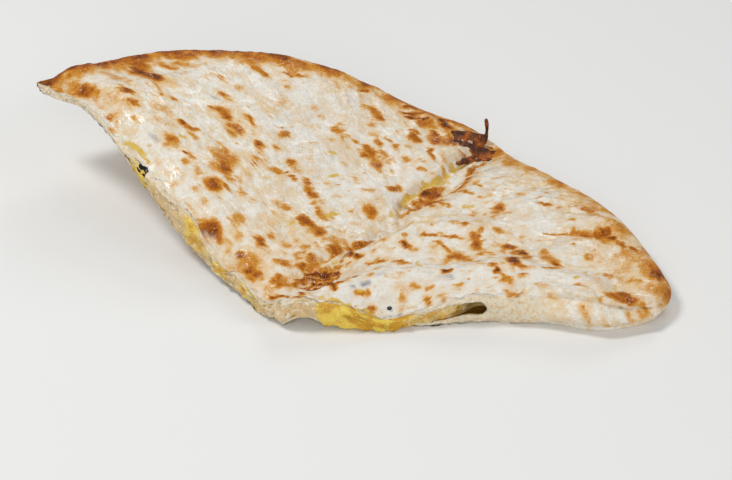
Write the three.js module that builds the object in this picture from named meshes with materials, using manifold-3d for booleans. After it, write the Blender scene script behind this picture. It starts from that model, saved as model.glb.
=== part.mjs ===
// Half of a round flatbread with a cheese filling, cut through and almost quartered.
// Two lobes still hang together along a pressed crease. The right lobe lies flat, the
// left lobe is lifted. Millimetres, +Z up, origin on the flat underside, under the
// middle of the crease.
import * as THREE from 'three';
import { mergeVertices } from 'three/addons/utils/BufferGeometryUtils.js';
import Module from 'manifold-3d';

const wasm = await Module();
wasm.setup();

// Plan of the bread: angles in degrees from +X, seen from the tip where the cuts meet
const RADIUS = 154;
const STRETCH = 8;
const STRETCH_FROM = 46;
const STRETCH_OVER = 12;
const ROUND_CENTRE = new THREE.Vector2(-52, -68);
const TIP = new THREE.Vector2(-46, -60);
const RIGHT_CUT = -2.8;
const CREASE = 52.2;
const LEFT_CUT = 127.2;

// Share of the reach that each corner loses or gains, and the grid angle it takes
const RIGHT_CORNER = { loss: 0.075, over: 14 };
const LEFT_CORNER = { loss: -0.02, over: 10 };

// Heights and thicknesses
const THICK = 11.5;
const PUFF = 2.4;
const PUFF_FROM_CREASE = 52;
const PUFF_WIDTH = 34;
const CRUST = 2;
const CRUST_SHARE = 0.28;
const RIM_ROLL = 10;
const RIM_WALL = 0.34;
const RIM_RISE = 0.3;
const LIFT = 29;
const LIFT_TOP = [7, 108];
const LIFT_UNDER = [30, 92];
const DROOP = 2;
const DROOP_FROM = 112;
const THINNEST = 3.2;
const VALLEY_DEPTH = 5.8;
const VALLEY_WIDTH = 8;
const VALLEY_RUN_IN = 24;
const RIM_BULGE = 1.4;
const TORN = 0.55;
const TIP_TURN = 0.08;

// Filling. Its mouth along each cut closes towards the rim: share of the cut where that
// starts, and the share it takes. Behind closed crust it starts a little further in.
const CHEESE_REACH = 0.9;
const CHEESE_EDGE = 0.8;
const CHEESE_FULL = 0.55;
const GAP = 0.3;
const POCKET_OVERRUN = 7;
const RIGHT_SHUT = { from: 0.58, over: 0.07 };
const LEFT_SHUT = { from: 0.65, over: 0.08 };
const SHUT_DEPTH = 0.09;

// Burnt cheese that ran out at the rim end of the crease
const BURNT_ALONG = [129, 148];
const BURNT_ACROSS = [-4.5, 15];
const BURNT_HEIGHT = 2.2;
const BURNT_SINK = 1.6;
const WEB_FROM = [146, 13];
const WEB_TO = [148.5, 4.5];
const WEB_HEIGHT = 3.2;
const WEB_THICK = 2.2;
const STRAND_FOOT = [147.7, 5.1];
const STRAND_HEIGHT = 10.6;
const STRAND_RADIUS = 1.3;
const STRAND_SINK = 1.2;

// Seed on the crust, by its distance right of and behind the tip
const SEED_PLACE = [40.4, 1.5];
const SEED_RADIUS = 1.0;

// Grid steps
const BREAD_STEPS = [48, 24, 4];
const CHEESE_STEPS = [30, 15, 1];
const BURNT_STEPS = [14, 12, 1];
const WEB_STEPS = [8, 1, 3];
const GRID_EASE = 0.55;

// Folds of the right lobe: start, end, height and half width, from the tip
const FOLDS = [
  { from: [32, 36], to: [54, 50], high: 2.8, wide: 7 },
  { from: [54, 50], to: [82, 46], high: 2.4, wide: 7 },
  { from: [20, 8], to: [54, 15], high: 2.6, wide: 6 },
  { from: [54, 15], to: [86, 15], high: 3, wide: 6 },
  { from: [86, 15], to: [118, 4], high: 3, wide: 6 },
  { from: [100, 46], to: [130, 46], high: 1.8, wide: 6 },
];

// Blisters: place from the tip, radii along x and y, height
const BLISTERS = [
  { at: [60, 66], size: [9, 6], high: 2.2 },
  { at: [-6, 96], size: [12, 12], high: 1.8 },
  { at: [-40, 118], size: [14, 10], high: 1.6 },
  { at: [22, 124], size: [16, 10], high: 1.8 },
  { at: [96, 62], size: [12, 9], high: 1.6 },
  { at: [112, 28], size: [10, 7], high: 1.4 },
];

// Change of thickness along each cut: distance from the tip, half width, height
const RIGHT_LIP = [
  { at: 10, wide: 8, high: -3 },
  { at: 40, wide: 12, high: -7.2 },
  { at: 58, wide: 9, high: -3.4 },
  { at: 90, wide: 12, high: -1.2 },
  { at: 116, wide: 13, high: 4 },
];
const LEFT_LIP = [
  { at: 14, wide: 13, high: -6.5 },
  { at: 40, wide: 12, high: -11.5 },
  { at: 62, wide: 16, high: -4.5 },
  { at: 84, wide: 14, high: -7 },
  { at: 104, wide: 14, high: -6 },
  { at: 130, wide: 22, high: -10.5 },
  { at: 154, wide: 8, high: -3 },
];
const LIP_DEPTH = 12;

// How far the whole edge is lifted along each cut, given in the same way
const RIGHT_RISE = [{ at: 7, wide: 8, high: 5.2 }];
const LEFT_RISE = [
  { at: 44, wide: 20, high: 2.6 },
  { at: 84, wide: 16, high: 1 },
  { at: 128, wide: 28, high: 10.5 },
  { at: 154, wide: 10, high: 1.5 },
];
const RISE_DEPTH = 35;

// The right cut swings behind and in front of a straight line: place, half width, shift
const CUT_SWING = [
  { at: 76, wide: 24, shift: 3.2 },
  { at: 119, wide: 15, shift: -5.5 },
];
const SWING_FADE = 35;

// How far the filling stands out of the right cut: place, half width, amount
const OOZE = [
  { at: 20, wide: 12, out: 0.8 },
  { at: 38, wide: 12, out: 2.2 },
];

// Hole where the filling stands back from the right cut: share of the cut and of the depth
const RECESS = { at: 0.56, wide: 0.06, deep: 0.13 };

const COLOURS = {
  bread: { color: 0xe6d0a6, roughness: 0.62 },
  cheese_filling: { color: 0xd2ab38, roughness: 0.42 },
  burnt_cheese: { color: 0x5a2c0f, roughness: 0.38 },
};

function clamp01(t) {
  return Math.min(1, Math.max(0, t));
}

function ease(t) {
  const c = clamp01(t);
  return c * c * (3 - 2 * c);
}

function bell(t) {
  return Math.exp(-t * t);
}

function radians(degrees) {
  return degrees * Math.PI / 180;
}

// Spreads grid lines closer together at the crease, the cuts and the rim.
function spread(t) {
  const a = Math.abs(t);
  return Math.sign(t) * (GRID_EASE * ease(a) + (1 - GRID_EASE) * a);
}

// Distance from the tip to the rim in a direction given in degrees.
function rimDistance(theta) {
  const a = radians(theta);
  const offset = TIP.clone().sub(ROUND_CENTRE);
  const along = offset.x * Math.cos(a) + offset.y * Math.sin(a);
  const wobble = 1.2 * Math.sin(7 * a + 0.4) + 0.8 * Math.sin(13 * a + 2);
  const reach = RADIUS + STRETCH * ease((theta - STRETCH_FROM) / STRETCH_OVER) + wobble;
  return Math.sqrt(along * along - offset.lengthSq() + reach * reach) - along;
}

// Sideways swing of the right cut at a distance from the tip.
function cutSwing(x) {
  return CUT_SWING.reduce((sum, s) => sum + s.shift * bell((x - s.at) / s.wide), 0);
}

// Plan position of a point of the half disc: u runs along the cuts, v away from them.
function planPoint(u, v) {
  const r = Math.max(Math.abs(u), v);
  let phi = 90;
  if (r > 0) {
    phi = v > Math.abs(u) ? 90 - 45 * u / v : 45 * v / Math.abs(u);
    if (u < 0 && v <= -u) phi = 180 - phi;
  }
  const right = phi <= 90;
  const theta = right
    ? RIGHT_CUT + (CREASE - RIGHT_CUT) * phi / 90
    : CREASE + (LEFT_CUT - CREASE) * (phi - 90) / 90;
  const nearRight = RIGHT_CORNER.loss * (1 - clamp01(phi / RIGHT_CORNER.over)) ** 2;
  const nearLeft = LEFT_CORNER.loss * (1 - clamp01((180 - phi) / LEFT_CORNER.over)) ** 2;
  const reach = rimDistance(theta) * (1 - nearRight - nearLeft);
  const a = radians(theta);
  const x = r * reach * Math.cos(a);
  const swing = cutSwing(x) * (1 - ease(phi / SWING_FADE));
  const y = r * reach * Math.sin(a) + swing;
  return { u, v, r, x, y, theta, phi, toRim: (1 - r) * reach };
}

// Distances along the crease and to the left of it.
function creaseFrame(x, y) {
  const a = radians(CREASE);
  return { along: x * Math.cos(a) + y * Math.sin(a), left: y * Math.cos(a) - x * Math.sin(a) };
}

function undulation(x, y) {
  return 0.6 * Math.sin(x / 13 + 1.1) * Math.cos(y / 11 - 0.4)
    + 0.45 * Math.sin((x + y) / 9 + 2)
    + 0.35 * Math.sin((x - 1.6 * y) / 8);
}

function foldHeight(fold, x, y) {
  const [x0, y0] = fold.from;
  const [dx, dy] = [fold.to[0] - x0, fold.to[1] - y0];
  const t = clamp01(((x - x0) * dx + (y - y0) * dy) / (dx * dx + dy * dy));
  const off = Math.hypot(x - x0 - t * dx, y - y0 - t * dy);
  return fold.high * bell(off / fold.wide);
}

function blisterHeight(blister, x, y) {
  const [bx, by] = blister.at;
  const [sx, sy] = blister.size;
  return blister.high * bell(Math.hypot((x - bx) / sx, (y - by) / sy));
}

// Height that two lists of swells give near the cuts, blended from one cut to the other
// round the tip and fading over a depth behind them.
function alongCuts(q, onRight, onLeft, depth) {
  const from = Math.hypot(q.x, q.y);
  const sum = (swells) => swells.reduce((total, s) => total + s.high * bell((from - s.at) / s.wide), 0);
  const right = ease((q.u + TIP_TURN) / (2 * TIP_TURN));
  const high = right * sum(onRight) + (1 - right) * sum(onLeft);
  return high * bell(q.v * rimDistance(q.theta) / depth);
}

function liftOf(left, q, [start, span]) {
  const atCorner = ease((q.theta - DROOP_FROM) / (LEFT_CUT - DROOP_FROM)) * ease(2.5 * q.r - 1.5);
  return LIFT * ease((left - start) / span) - DROOP * atCorner;
}

// Lower and upper faces of the bread over a plan point.
function faces(q) {
  const { along, left } = creaseFrame(q.x, q.y);
  const rim = 1 - clamp01(q.toRim / RIM_ROLL);
  const round = Math.sqrt(1 - rim * rim);
  const pillow = PUFF * bell((Math.abs(left) - PUFF_FROM_CREASE) / PUFF_WIDTH) * ease(1.4 * q.r);
  const thick = THICK + pillow;
  const lifted = Math.max(0, liftOf(left, q, LIFT_UNDER));
  const rise = alongCuts(q, RIGHT_RISE, LEFT_RISE, RISE_DEPTH);
  const under = lifted + rise + RIM_RISE * thick * (1 - round);
  const crossing = Math.max(...FOLDS.map((fold) => foldHeight(fold, q.x, q.y)));
  const bubbles = BLISTERS.reduce((sum, b) => sum + blisterHeight(b, q.x, q.y), 0);
  const valley = VALLEY_DEPTH * bell(left / VALLEY_WIDTH) * ease(along / VALLEY_RUN_IN);
  const swell = liftOf(left, q, LIFT_TOP) - lifted;
  const relief = crossing + bubbles + undulation(q.x, q.y) - valley + swell;
  const upper = thick * (RIM_WALL + (1 - RIM_WALL) * round) + relief * round;
  const lip = alongCuts(q, RIGHT_LIP, LEFT_LIP, LIP_DEPTH);
  return { under, upper: under + Math.max(THINNEST, upper + lip) };
}

// Outward direction across the cuts, turning smoothly round the tip.
function cutNormal(u) {
  const t = ease((u + TIP_TURN) / (2 * TIP_TURN));
  const a = radians(LEFT_CUT + 90 + (RIGHT_CUT + 180 - LEFT_CUT) * t);
  return new THREE.Vector2(Math.cos(a), Math.sin(a));
}

// Torn, slightly bulging cut face.
function cutRelief(q, w) {
  const rough = Math.sin(q.x / 4.1 + 5 * w) * Math.sin(q.x / 7.3 - 3 * w + q.u);
  return TORN * (rough + Math.sin(Math.PI * w));
}

function breadPoint(u, v, w) {
  const q = planPoint(u, v);
  const { under, upper } = faces(q);
  const bulge = q.r === 1 ? RIM_BULGE * Math.sin(Math.PI * w) : 0;
  const a = radians(q.theta);
  const torn = v === 0 ? cutRelief(q, w) * Math.min(1, q.toRim / RIM_ROLL) : 0;
  const out = cutNormal(u);
  return new THREE.Vector3(
    TIP.x + q.x + bulge * Math.cos(a) + torn * out.x,
    TIP.y + q.y + bulge * Math.sin(a) + torn * out.y,
    under + (upper - under) * w,
  );
}

function oozeOut(q) {
  if (q.u <= 0) return 0.4 * Math.sin(q.r * 21) - 0.3;
  return OOZE.reduce((sum, o) => sum + o.out * bell((q.x - o.at) / o.wide), 0);
}

// Share by which the mouth of the pocket is closed at a place along the cuts.
function shutShare(u) {
  const { from, over } = u > 0 ? RIGHT_SHUT : LEFT_SHUT;
  return ease((Math.abs(u) - from) / over);
}

// The filling and, grown by the gap, the pocket for it. The pocket has one more row of
// points, with a negative v, that runs out past the cuts.
function fillingPoint(u, v, w, grow) {
  const shut = shutShare(u);
  const inset = SHUT_DEPTH * shut + RECESS.deep * bell((u - RECESS.at) / RECESS.wide);
  const within = v < 0 ? inset * shut : inset + (1 - inset) * v;
  const q = planPoint(u * CHEESE_REACH, within * CHEESE_REACH);
  const { under, upper } = faces(q);
  const crust = Math.min(CRUST, CRUST_SHARE * (upper - under));
  const full = upper - under - 2 * crust;
  const taper = 1 - ease((q.r / CHEESE_REACH - CHEESE_FULL) / (1 - CHEESE_FULL));
  const half = Math.max(CHEESE_EDGE, full * taper) / 2 + grow;
  const middle = (under + upper) / 2;
  const out = cutNormal(u);
  const front = v === 0 ? oozeOut(q) * (1 - shut) : 0;
  const past = v < 0 ? THREE.MathUtils.lerp(POCKET_OVERRUN, GAP, shut) : front;
  const a = radians(q.theta);
  const end = q.r >= CHEESE_REACH ? grow : 0;
  return new THREE.Vector3(
    TIP.x + q.x + past * out.x + end * Math.cos(a),
    TIP.y + q.y + past * out.y + end * Math.sin(a),
    middle + (2 * w - 1) * half,
  );
}

// A box of grid cells bent into shape by a rule for its points. Rows that lie before
// the first one have a negative v.
function bentBox([alongU, alongV, alongW], place, across = spread, before = 0) {
  const rows = alongV + before;
  const box = new THREE.BoxGeometry(2, 1, 1, alongU, rows, alongW);
  const points = box.getAttribute('position');
  for (let i = 0; i < points.count; i += 1) {
    const row = Math.round((points.getY(i) + 0.5) * rows) - before;
    const u = across(points.getX(i));
    const v = across(row / alongV);
    const p = place(u, v, points.getZ(i) + 0.5);
    points.setXYZ(i, p.x, p.y, p.z);
  }
  return box;
}

function toSolid(geometry) {
  geometry.deleteAttribute('normal');
  geometry.deleteAttribute('uv');
  const merged = mergeVertices(geometry, 1e-4);
  return new wasm.Manifold(new wasm.Mesh({
    numProp: 3,
    vertProperties: new Float32Array(merged.getAttribute('position').array),
    triVerts: new Uint32Array(merged.index.array),
  }));
}

function toGeometry(solid) {
  const mesh = solid.getMesh();
  const geometry = new THREE.BufferGeometry();
  geometry.setAttribute('position', new THREE.BufferAttribute(mesh.vertProperties, 3));
  geometry.setIndex(new THREE.BufferAttribute(mesh.triVerts, 1));
  return geometry;
}

// Plan point of the grid that lies over a place given from the tip.
function planAt(x, y) {
  const theta = Math.atan2(y, x) * 180 / Math.PI;
  const right = theta <= CREASE;
  const phi = right
    ? 90 * (theta - RIGHT_CUT) / (CREASE - RIGHT_CUT)
    : 90 + 90 * (theta - CREASE) / (LEFT_CUT - CREASE);
  const r = Math.hypot(x, y) / rimDistance(theta);
  const side = phi < 45 ? phi / 45 : (180 - phi) / 45;
  const inner = phi < 45 || phi > 135;
  return {
    u: inner ? (phi < 90 ? r : -r) : r * (90 - phi) / 45,
    v: inner ? r * side : r,
    r, x, y, theta, phi, toRim: (1 - r) * rimDistance(theta),
  };
}

function seed() {
  const grain = new THREE.IcosahedronGeometry(SEED_RADIUS, 0);
  const [x, y] = SEED_PLACE;
  grain.scale(1, 0.8, 0.8);
  grain.translate(TIP.x + x, TIP.y + y, faces(planAt(x, y)).upper + 0.35 * SEED_RADIUS);
  return toSolid(grain);
}

function bread() {
  const body = toSolid(bentBox(BREAD_STEPS, breadPoint));
  const hollow = (u, v, w) => fillingPoint(u, v, w, GAP);
  const pocket = toSolid(bentBox(CHEESE_STEPS, hollow, spread, 1));
  return toGeometry(body.subtract(pocket).add(seed()));
}

function filling() {
  return toGeometry(toSolid(bentBox(CHEESE_STEPS, (u, v, w) => fillingPoint(u, v, w, 0))));
}

// Point of the burnt crust: a ragged slab that follows the bread under it.
function burntPoint(u, v, w) {
  const squash = Math.sqrt(1 - 0.5 * (2 * v - 1) ** 2);
  const narrow = Math.sqrt(1 - 0.5 * u * u);
  const ragged = 1 + 0.09 * Math.sin(5 * u + 9 * v) + 0.06 * Math.sin(13 * v - 7 * u);
  const along = THREE.MathUtils.mapLinear(0.5 + (v - 0.5) * narrow * ragged, 0, 1, ...BURNT_ALONG);
  const left = THREE.MathUtils.mapLinear(-u * squash * ragged, -1, 1, ...BURNT_ACROSS);
  const a = radians(CREASE);
  const x = along * Math.cos(a) - left * Math.sin(a);
  const y = along * Math.sin(a) + left * Math.cos(a);
  const edge = Math.min(1, 4.5 * (1 - Math.abs(u)), 9 * Math.min(v, 1 - v));
  const lumps = 0.62 + 0.38 * Math.sin(x / 3.1 + 1) * Math.sin(y / 2.7);
  const high = 0.7 + BURNT_HEIGHT * lumps * ease(edge);
  const top = faces(planAt(x, y)).upper + high;
  return new THREE.Vector3(TIP.x + x, TIP.y + y, top - (high + BURNT_SINK) * (1 - w));
}

// Upright drip of burnt cheese, leaning a little.
function strand() {
  const [along, left] = STRAND_FOOT;
  const a = radians(CREASE);
  const x = along * Math.cos(a) - left * Math.sin(a);
  const y = along * Math.sin(a) + left * Math.cos(a);
  const foot = faces(planAt(x, y)).upper + GAP + STRAND_SINK;
  const rod = new THREE.CylinderGeometry(0.6 * STRAND_RADIUS, STRAND_RADIUS, STRAND_HEIGHT, 7, 6);
  rod.rotateX(Math.PI / 2);
  const points = rod.getAttribute('position');
  for (let i = 0; i < points.count; i += 1) {
    const t = points.getZ(i) / STRAND_HEIGHT + 0.5;
    const bend = 1.4 * Math.sin(2.6 * t);
    const size = 1 + 0.25 * Math.sin(9 * t);
    points.setXYZ(
      i,
      TIP.x + x + points.getX(i) * size + bend,
      TIP.y + y + points.getY(i) * size,
      foot + t * STRAND_HEIGHT,
    );
  }
  return toSolid(rod);
}

// Thin upright wall of burnt cheese along the rim, from its low end to the strand.
function webPoint(u, v, w) {
  const t = 0.5 - u / 2;
  const along = THREE.MathUtils.lerp(WEB_TO[0], WEB_FROM[0], t) + 0.8 * Math.sin(7 * t);
  const left = THREE.MathUtils.lerp(WEB_TO[1], WEB_FROM[1], t);
  const a = radians(CREASE);
  const thick = WEB_THICK * (v - 0.5) * (1 - 0.3 * w);
  const x = (along + thick) * Math.cos(a) - left * Math.sin(a);
  const y = (along + thick) * Math.sin(a) + left * Math.cos(a);
  const high = WEB_HEIGHT * (0.45 + 0.55 * ease(1.2 - t)) + 0.7 * Math.sin(11 * t);
  const base = faces(planAt(x, y)).upper - BURNT_SINK;
  return new THREE.Vector3(TIP.x + x, TIP.y + y, base + (high + BURNT_SINK) * w);
}

// The pieces start under the crust and are trimmed to lie a gap above it.
function burntCheese() {
  const crust = toSolid(bentBox(BURNT_STEPS, burntPoint, (t) => t));
  const web = toSolid(bentBox(WEB_STEPS, webPoint, (t) => t));
  const slab = crust.add(web);
  const lifted = (u, v, w) => breadPoint(u, v, w).add(new THREE.Vector3(0, 0, GAP));
  const trimmed = slab.subtract(toSolid(bentBox(BREAD_STEPS, lifted)));
  return toGeometry(trimmed.add(strand()));
}

function piece(name, geometry) {
  const shaded = geometry.toNonIndexed();
  shaded.computeVertexNormals();
  const mesh = new THREE.Mesh(shaded, new THREE.MeshStandardMaterial(COLOURS[name]));
  mesh.name = name;
  return mesh;
}

const naan = new THREE.Group();
naan.add(piece('bread', bread()));
naan.add(piece('cheese_filling', filling()));
naan.add(piece('burnt_cheese', burntCheese()));

export default naan;
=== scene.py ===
"""Looks of half a cheese naan that was cut through and almost quartered.

Two lobes of flatbread hang together along a pressed crease. The right lobe lies flat and the
left one is lifted. Melted cheese shows in the cuts, and burnt cheese stands at the rim end of
the crease. Sizes are in millimetres, in a plan measured from the tip where the cuts meet,
unless a name says otherwise, and MM turns them into metres.
"""

from __future__ import annotations

import logging
from abc import ABC, abstractmethod
from collections.abc import Mapping, Sequence
from dataclasses import dataclass, field
from enum import Enum
from math import cos, radians, sin
from typing import Any

import bmesh
import bpy
import numpy as np
from mathutils import Matrix, Vector, noise


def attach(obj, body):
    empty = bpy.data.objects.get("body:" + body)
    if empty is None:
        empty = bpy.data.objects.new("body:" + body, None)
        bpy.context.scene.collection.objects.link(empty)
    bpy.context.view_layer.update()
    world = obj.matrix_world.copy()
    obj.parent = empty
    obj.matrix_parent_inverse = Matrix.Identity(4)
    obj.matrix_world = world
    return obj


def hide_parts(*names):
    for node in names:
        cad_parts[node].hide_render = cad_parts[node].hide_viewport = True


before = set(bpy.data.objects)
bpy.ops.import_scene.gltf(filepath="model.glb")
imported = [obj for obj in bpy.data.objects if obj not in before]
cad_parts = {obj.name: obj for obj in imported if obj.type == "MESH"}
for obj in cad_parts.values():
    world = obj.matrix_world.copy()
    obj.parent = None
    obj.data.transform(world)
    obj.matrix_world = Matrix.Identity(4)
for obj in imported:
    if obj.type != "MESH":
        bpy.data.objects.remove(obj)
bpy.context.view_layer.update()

Array = np.ndarray
Place = tuple[float, float]
Colour = tuple[float, float, float]

LOG = logging.getLogger("cheese_naan")
MM = 0.001
LEFT_CUT = 127.2
LIFT = 29.0
SEED = 20
TINY = 1e-6
BODY = "root"


class Slot(Enum):
    """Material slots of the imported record."""

    BREAD = "bread"
    CHEESE = "cheese"
    BURNT = "burnt_cheese"


# Small rules that shape everything


def ease(share: Array | float) -> Array:
    """Smooth step from 0 to 1."""
    held = np.clip(share, 0.0, 1.0)
    return held * held * (3.0 - 2.0 * held)


def bell(share: Array | float) -> Array:
    """Bell curve that is 1 at 0."""
    return np.exp(-np.square(share))


def spread(place: Array, eased: float = 0.55) -> Array:
    """Moves grid lines closer together at the crease, the cuts and the rim.

    Args:
        place: Grid coordinates from -1 to 1.
        eased: Share of the easing in the result.

    Returns:
        The moved coordinates.
    """
    size = np.abs(place)
    return np.sign(place) * (eased * ease(size) + (1.0 - eased) * size)


def rough(x: Array, y: Array, scale: float, layer: float, octaves: int = 3) -> Array:
    """Samples layered noise over a plan.

    Args:
        x: Plan places along X.
        y: Plan places along Y.
        scale: Size of the largest lumps.
        layer: Which independent sheet of the noise is read.
        octaves: How many finer layers are added.

    Returns:
        Noise of about -1 to 1 at each place.
    """
    places = np.column_stack((x / scale, y / scale, np.full(len(x), layer)))
    return np.array([noise.fractal(Vector(p), 1.0, 2.0, octaves) for p in places])


def along_stroke(x: Array, y: Array, start: Place, end: Place) -> Array:
    """Distance of plan places from a straight stroke.

    Args:
        x: Plan places along X.
        y: Plan places along Y.
        start: Where the stroke starts.
        end: Where it ends.

    Returns:
        The distance of each place from the stroke.
    """
    run_x, run_y = end[0] - start[0], end[1] - start[1]
    length = max(run_x**2 + run_y**2, TINY)
    share = np.clip(((x - start[0]) * run_x + (y - start[1]) * run_y) / length, 0.0, 1.0)
    return np.hypot(x - start[0] - share * run_x, y - start[1] - share * run_y)


@dataclass(frozen=True)
class Grain:
    """Layered noise of one height and size. Each sheet of the noise is an independent one."""

    high: float
    size: float
    sheet: float
    octaves: int = 3

    def over(self, x: Array, y: Array) -> Array:
        """Height that the noise adds at each plan place."""
        return self.high * rough(x, y, self.size, self.sheet, self.octaves)


@dataclass(frozen=True)
class Ramp:
    """A soft change that starts at one distance and is complete some way on."""

    at: float
    way: float
    high: float = 1.0

    def over(self, distance: Array) -> Array:
        """Height that the ramp has reached at each distance."""
        return self.high * ease((distance - self.at) / self.way)


@dataclass(frozen=True)
class Swell:
    """A rise, sag or shift that is strongest at one distance."""

    at: float
    wide: float
    high: float

    def over(self, distance: Array) -> Array:
        """Height that the swell adds at each distance."""
        return self.high * bell((distance - self.at) / self.wide)


@dataclass(frozen=True)
class Wave:
    """A slow wave over the crust, with the distances along X and Y that one radian takes."""

    high: float
    along: float
    beside: float
    start: float

    def over(self, x: Array, y: Array) -> Array:
        """Height that the wave adds at each plan place."""
        return self.high * np.sin(x / self.along + y / self.beside + self.start)


@dataclass(frozen=True)
class Fold:
    """A soft ridge between two places."""

    start: Place
    end: Place
    high: float
    wide: float

    def over(self, x: Array, y: Array) -> Array:
        """Height that the fold adds at each plan place."""
        return self.high * bell(along_stroke(x, y, self.start, self.end) / self.wide)


@dataclass(frozen=True)
class Blister:
    """A low bubble in the crust."""

    at: Place
    size: Place
    high: float

    def over(self, x: Array, y: Array) -> Array:
        """Height that the blister adds at each plan place."""
        across, deep = (x - self.at[0]) / self.size[0], (y - self.at[1]) / self.size[1]
        return self.high * bell(np.hypot(across, deep))


@dataclass(frozen=True)
class PlanPoints:
    """Grid places u and v with what the plan says about them."""

    u: Array
    v: Array
    share: Array
    x: Array
    y: Array
    theta: Array
    to_rim: Array
    reach: Array


def leaning(q: PlanPoints, w: Array, lean: Place) -> tuple[Array, Array]:
    """Plan places that move with the height in the bread, so that noise changes up a wall."""
    return q.x + lean[0] * w, q.y + lean[1] * w


@dataclass(frozen=True)
class Plan:
    """Outline of the half bread, seen from above. Angles are degrees from +X."""

    tip: Place = (-46.0, -60.0)
    round_centre: Place = (-52.0, -68.0)
    radius: float = 154.0
    stretch: Ramp = Ramp(46.0, 12.0, 8.0)
    wobbles: tuple[tuple[float, int, float], ...] = ((1.2, 7, 0.4), (0.8, 13, 2.0))
    right_cut: float = -2.8
    crease: float = 52.2
    left_cut: float = LEFT_CUT
    right_corner: Place = (0.075, 14.0)
    left_corner: Place = (-0.02, 10.0)
    swings: tuple[Swell, ...] = (Swell(76, 24, 3.2), Swell(119, 15, -5.5))
    swing_fade: float = 35.0
    tip_turn: float = 0.08

    def rim_distance(self, theta: Array) -> Array:
        """Distance from the tip to the rim.

        Args:
            theta: Directions, in degrees from +X.

        Returns:
            The distance in each direction.
        """
        turn = np.radians(theta)
        off_x, off_y = self.tip[0] - self.round_centre[0], self.tip[1] - self.round_centre[1]
        along = off_x * np.cos(turn) + off_y * np.sin(turn)
        wobble = sum(high * np.sin(count * turn + start) for high, count, start in self.wobbles)
        reach = self.radius + self.stretch.over(theta) + wobble
        return np.sqrt(along**2 - off_x**2 - off_y**2 + reach**2) - along

    def _turned(self, u: Array, v: Array, share: Array) -> Array:
        """Works out how far round the tip each grid place is turned.

        Args:
            u: Coordinates along the cuts.
            v: Coordinates away from the cuts.
            share: The larger of v and the size of u.

        Returns:
            Angles from 0 at the right cut to 180 at the left one.
        """
        safe = np.maximum(share, TINY)
        near_cut = 45.0 * v / safe
        beside = np.where(u < 0, 180.0 - near_cut, near_cut)
        turned = np.where(v > np.abs(u), 90.0 - 45.0 * u / safe, beside)
        return np.where(share > 0, turned, 90.0)

    def points(self, u: Array, v: Array) -> PlanPoints:
        """Places grid coordinates in the plan.

        Args:
            u: Coordinates along the cuts, from -1 at the left corner to 1 at the right one.
            v: Coordinates away from the cuts, from 0 to 1.

        Returns:
            The plan places and their distances from the rim.
        """
        share = np.maximum(np.abs(u), v)
        turned = self._turned(u, v, share)
        on_right = self.right_cut + (self.crease - self.right_cut) * turned / 90.0
        on_left = self.crease + (self.left_cut - self.crease) * (turned - 90.0) / 90.0
        theta = np.where(turned <= 90.0, on_right, on_left)
        full = self.rim_distance(theta)
        lost_right = self.right_corner[0] * (1 - np.clip(turned / self.right_corner[1], 0, 1)) ** 2
        back = (180.0 - turned) / self.left_corner[1]
        lost_left = self.left_corner[0] * (1 - np.clip(back, 0, 1)) ** 2
        reach = full * (1 - lost_right - lost_left)
        x = share * reach * np.cos(np.radians(theta))
        swing = sum(s.over(x) for s in self.swings) * (1 - ease(turned / self.swing_fade))
        y = share * reach * np.sin(np.radians(theta)) + swing
        return PlanPoints(u, v, share, x, y, theta, (1 - share) * reach, full)

    def at(self, x: Array, y: Array) -> PlanPoints:
        """Finds the grid coordinates of plan places.

        Args:
            x: Places along X, from the tip.
            y: Places along Y, from the tip.

        Returns:
            The places with their grid coordinates.
        """
        theta = np.degrees(np.arctan2(y, x))
        full = self.rim_distance(theta)
        share = np.hypot(x, y) / full
        on_right = 90 * (theta - self.right_cut) / (self.crease - self.right_cut)
        on_left = 90 + 90 * (theta - self.crease) / (self.left_cut - self.crease)
        turned = np.where(theta <= self.crease, on_right, on_left)
        side = np.minimum(turned, 180 - turned) / 45
        u = np.where(side < 1, share * np.sign(90 - turned), share * (90 - turned) / 45)
        v = share * np.minimum(side, 1)
        return PlanPoints(u, v, share, x, y, theta, (1 - share) * full, full)

    def crease_frame(self, x: Array, y: Array) -> tuple[Array, Array]:
        """Distances along the crease and to the left of it."""
        turn = radians(self.crease)
        return x * cos(turn) + y * sin(turn), y * cos(turn) - x * sin(turn)

    def by_right(self, u: Array) -> Array:
        """Share of the right cut at each place along the cuts. It changes smoothly at the tip."""
        return ease((u + self.tip_turn) / (2 * self.tip_turn))

    def cut_normal(self, u: Array) -> tuple[Array, Array]:
        """Finds which way is out of the cuts. It turns smoothly round the tip.

        Args:
            u: Coordinates along the cuts.

        Returns:
            The X and Y parts of the direction.
        """
        turned = (self.right_cut + 180 - self.left_cut) * self.by_right(u)
        turn = np.radians(self.left_cut + 90 + turned)
        return np.cos(turn), np.sin(turn)


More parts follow.
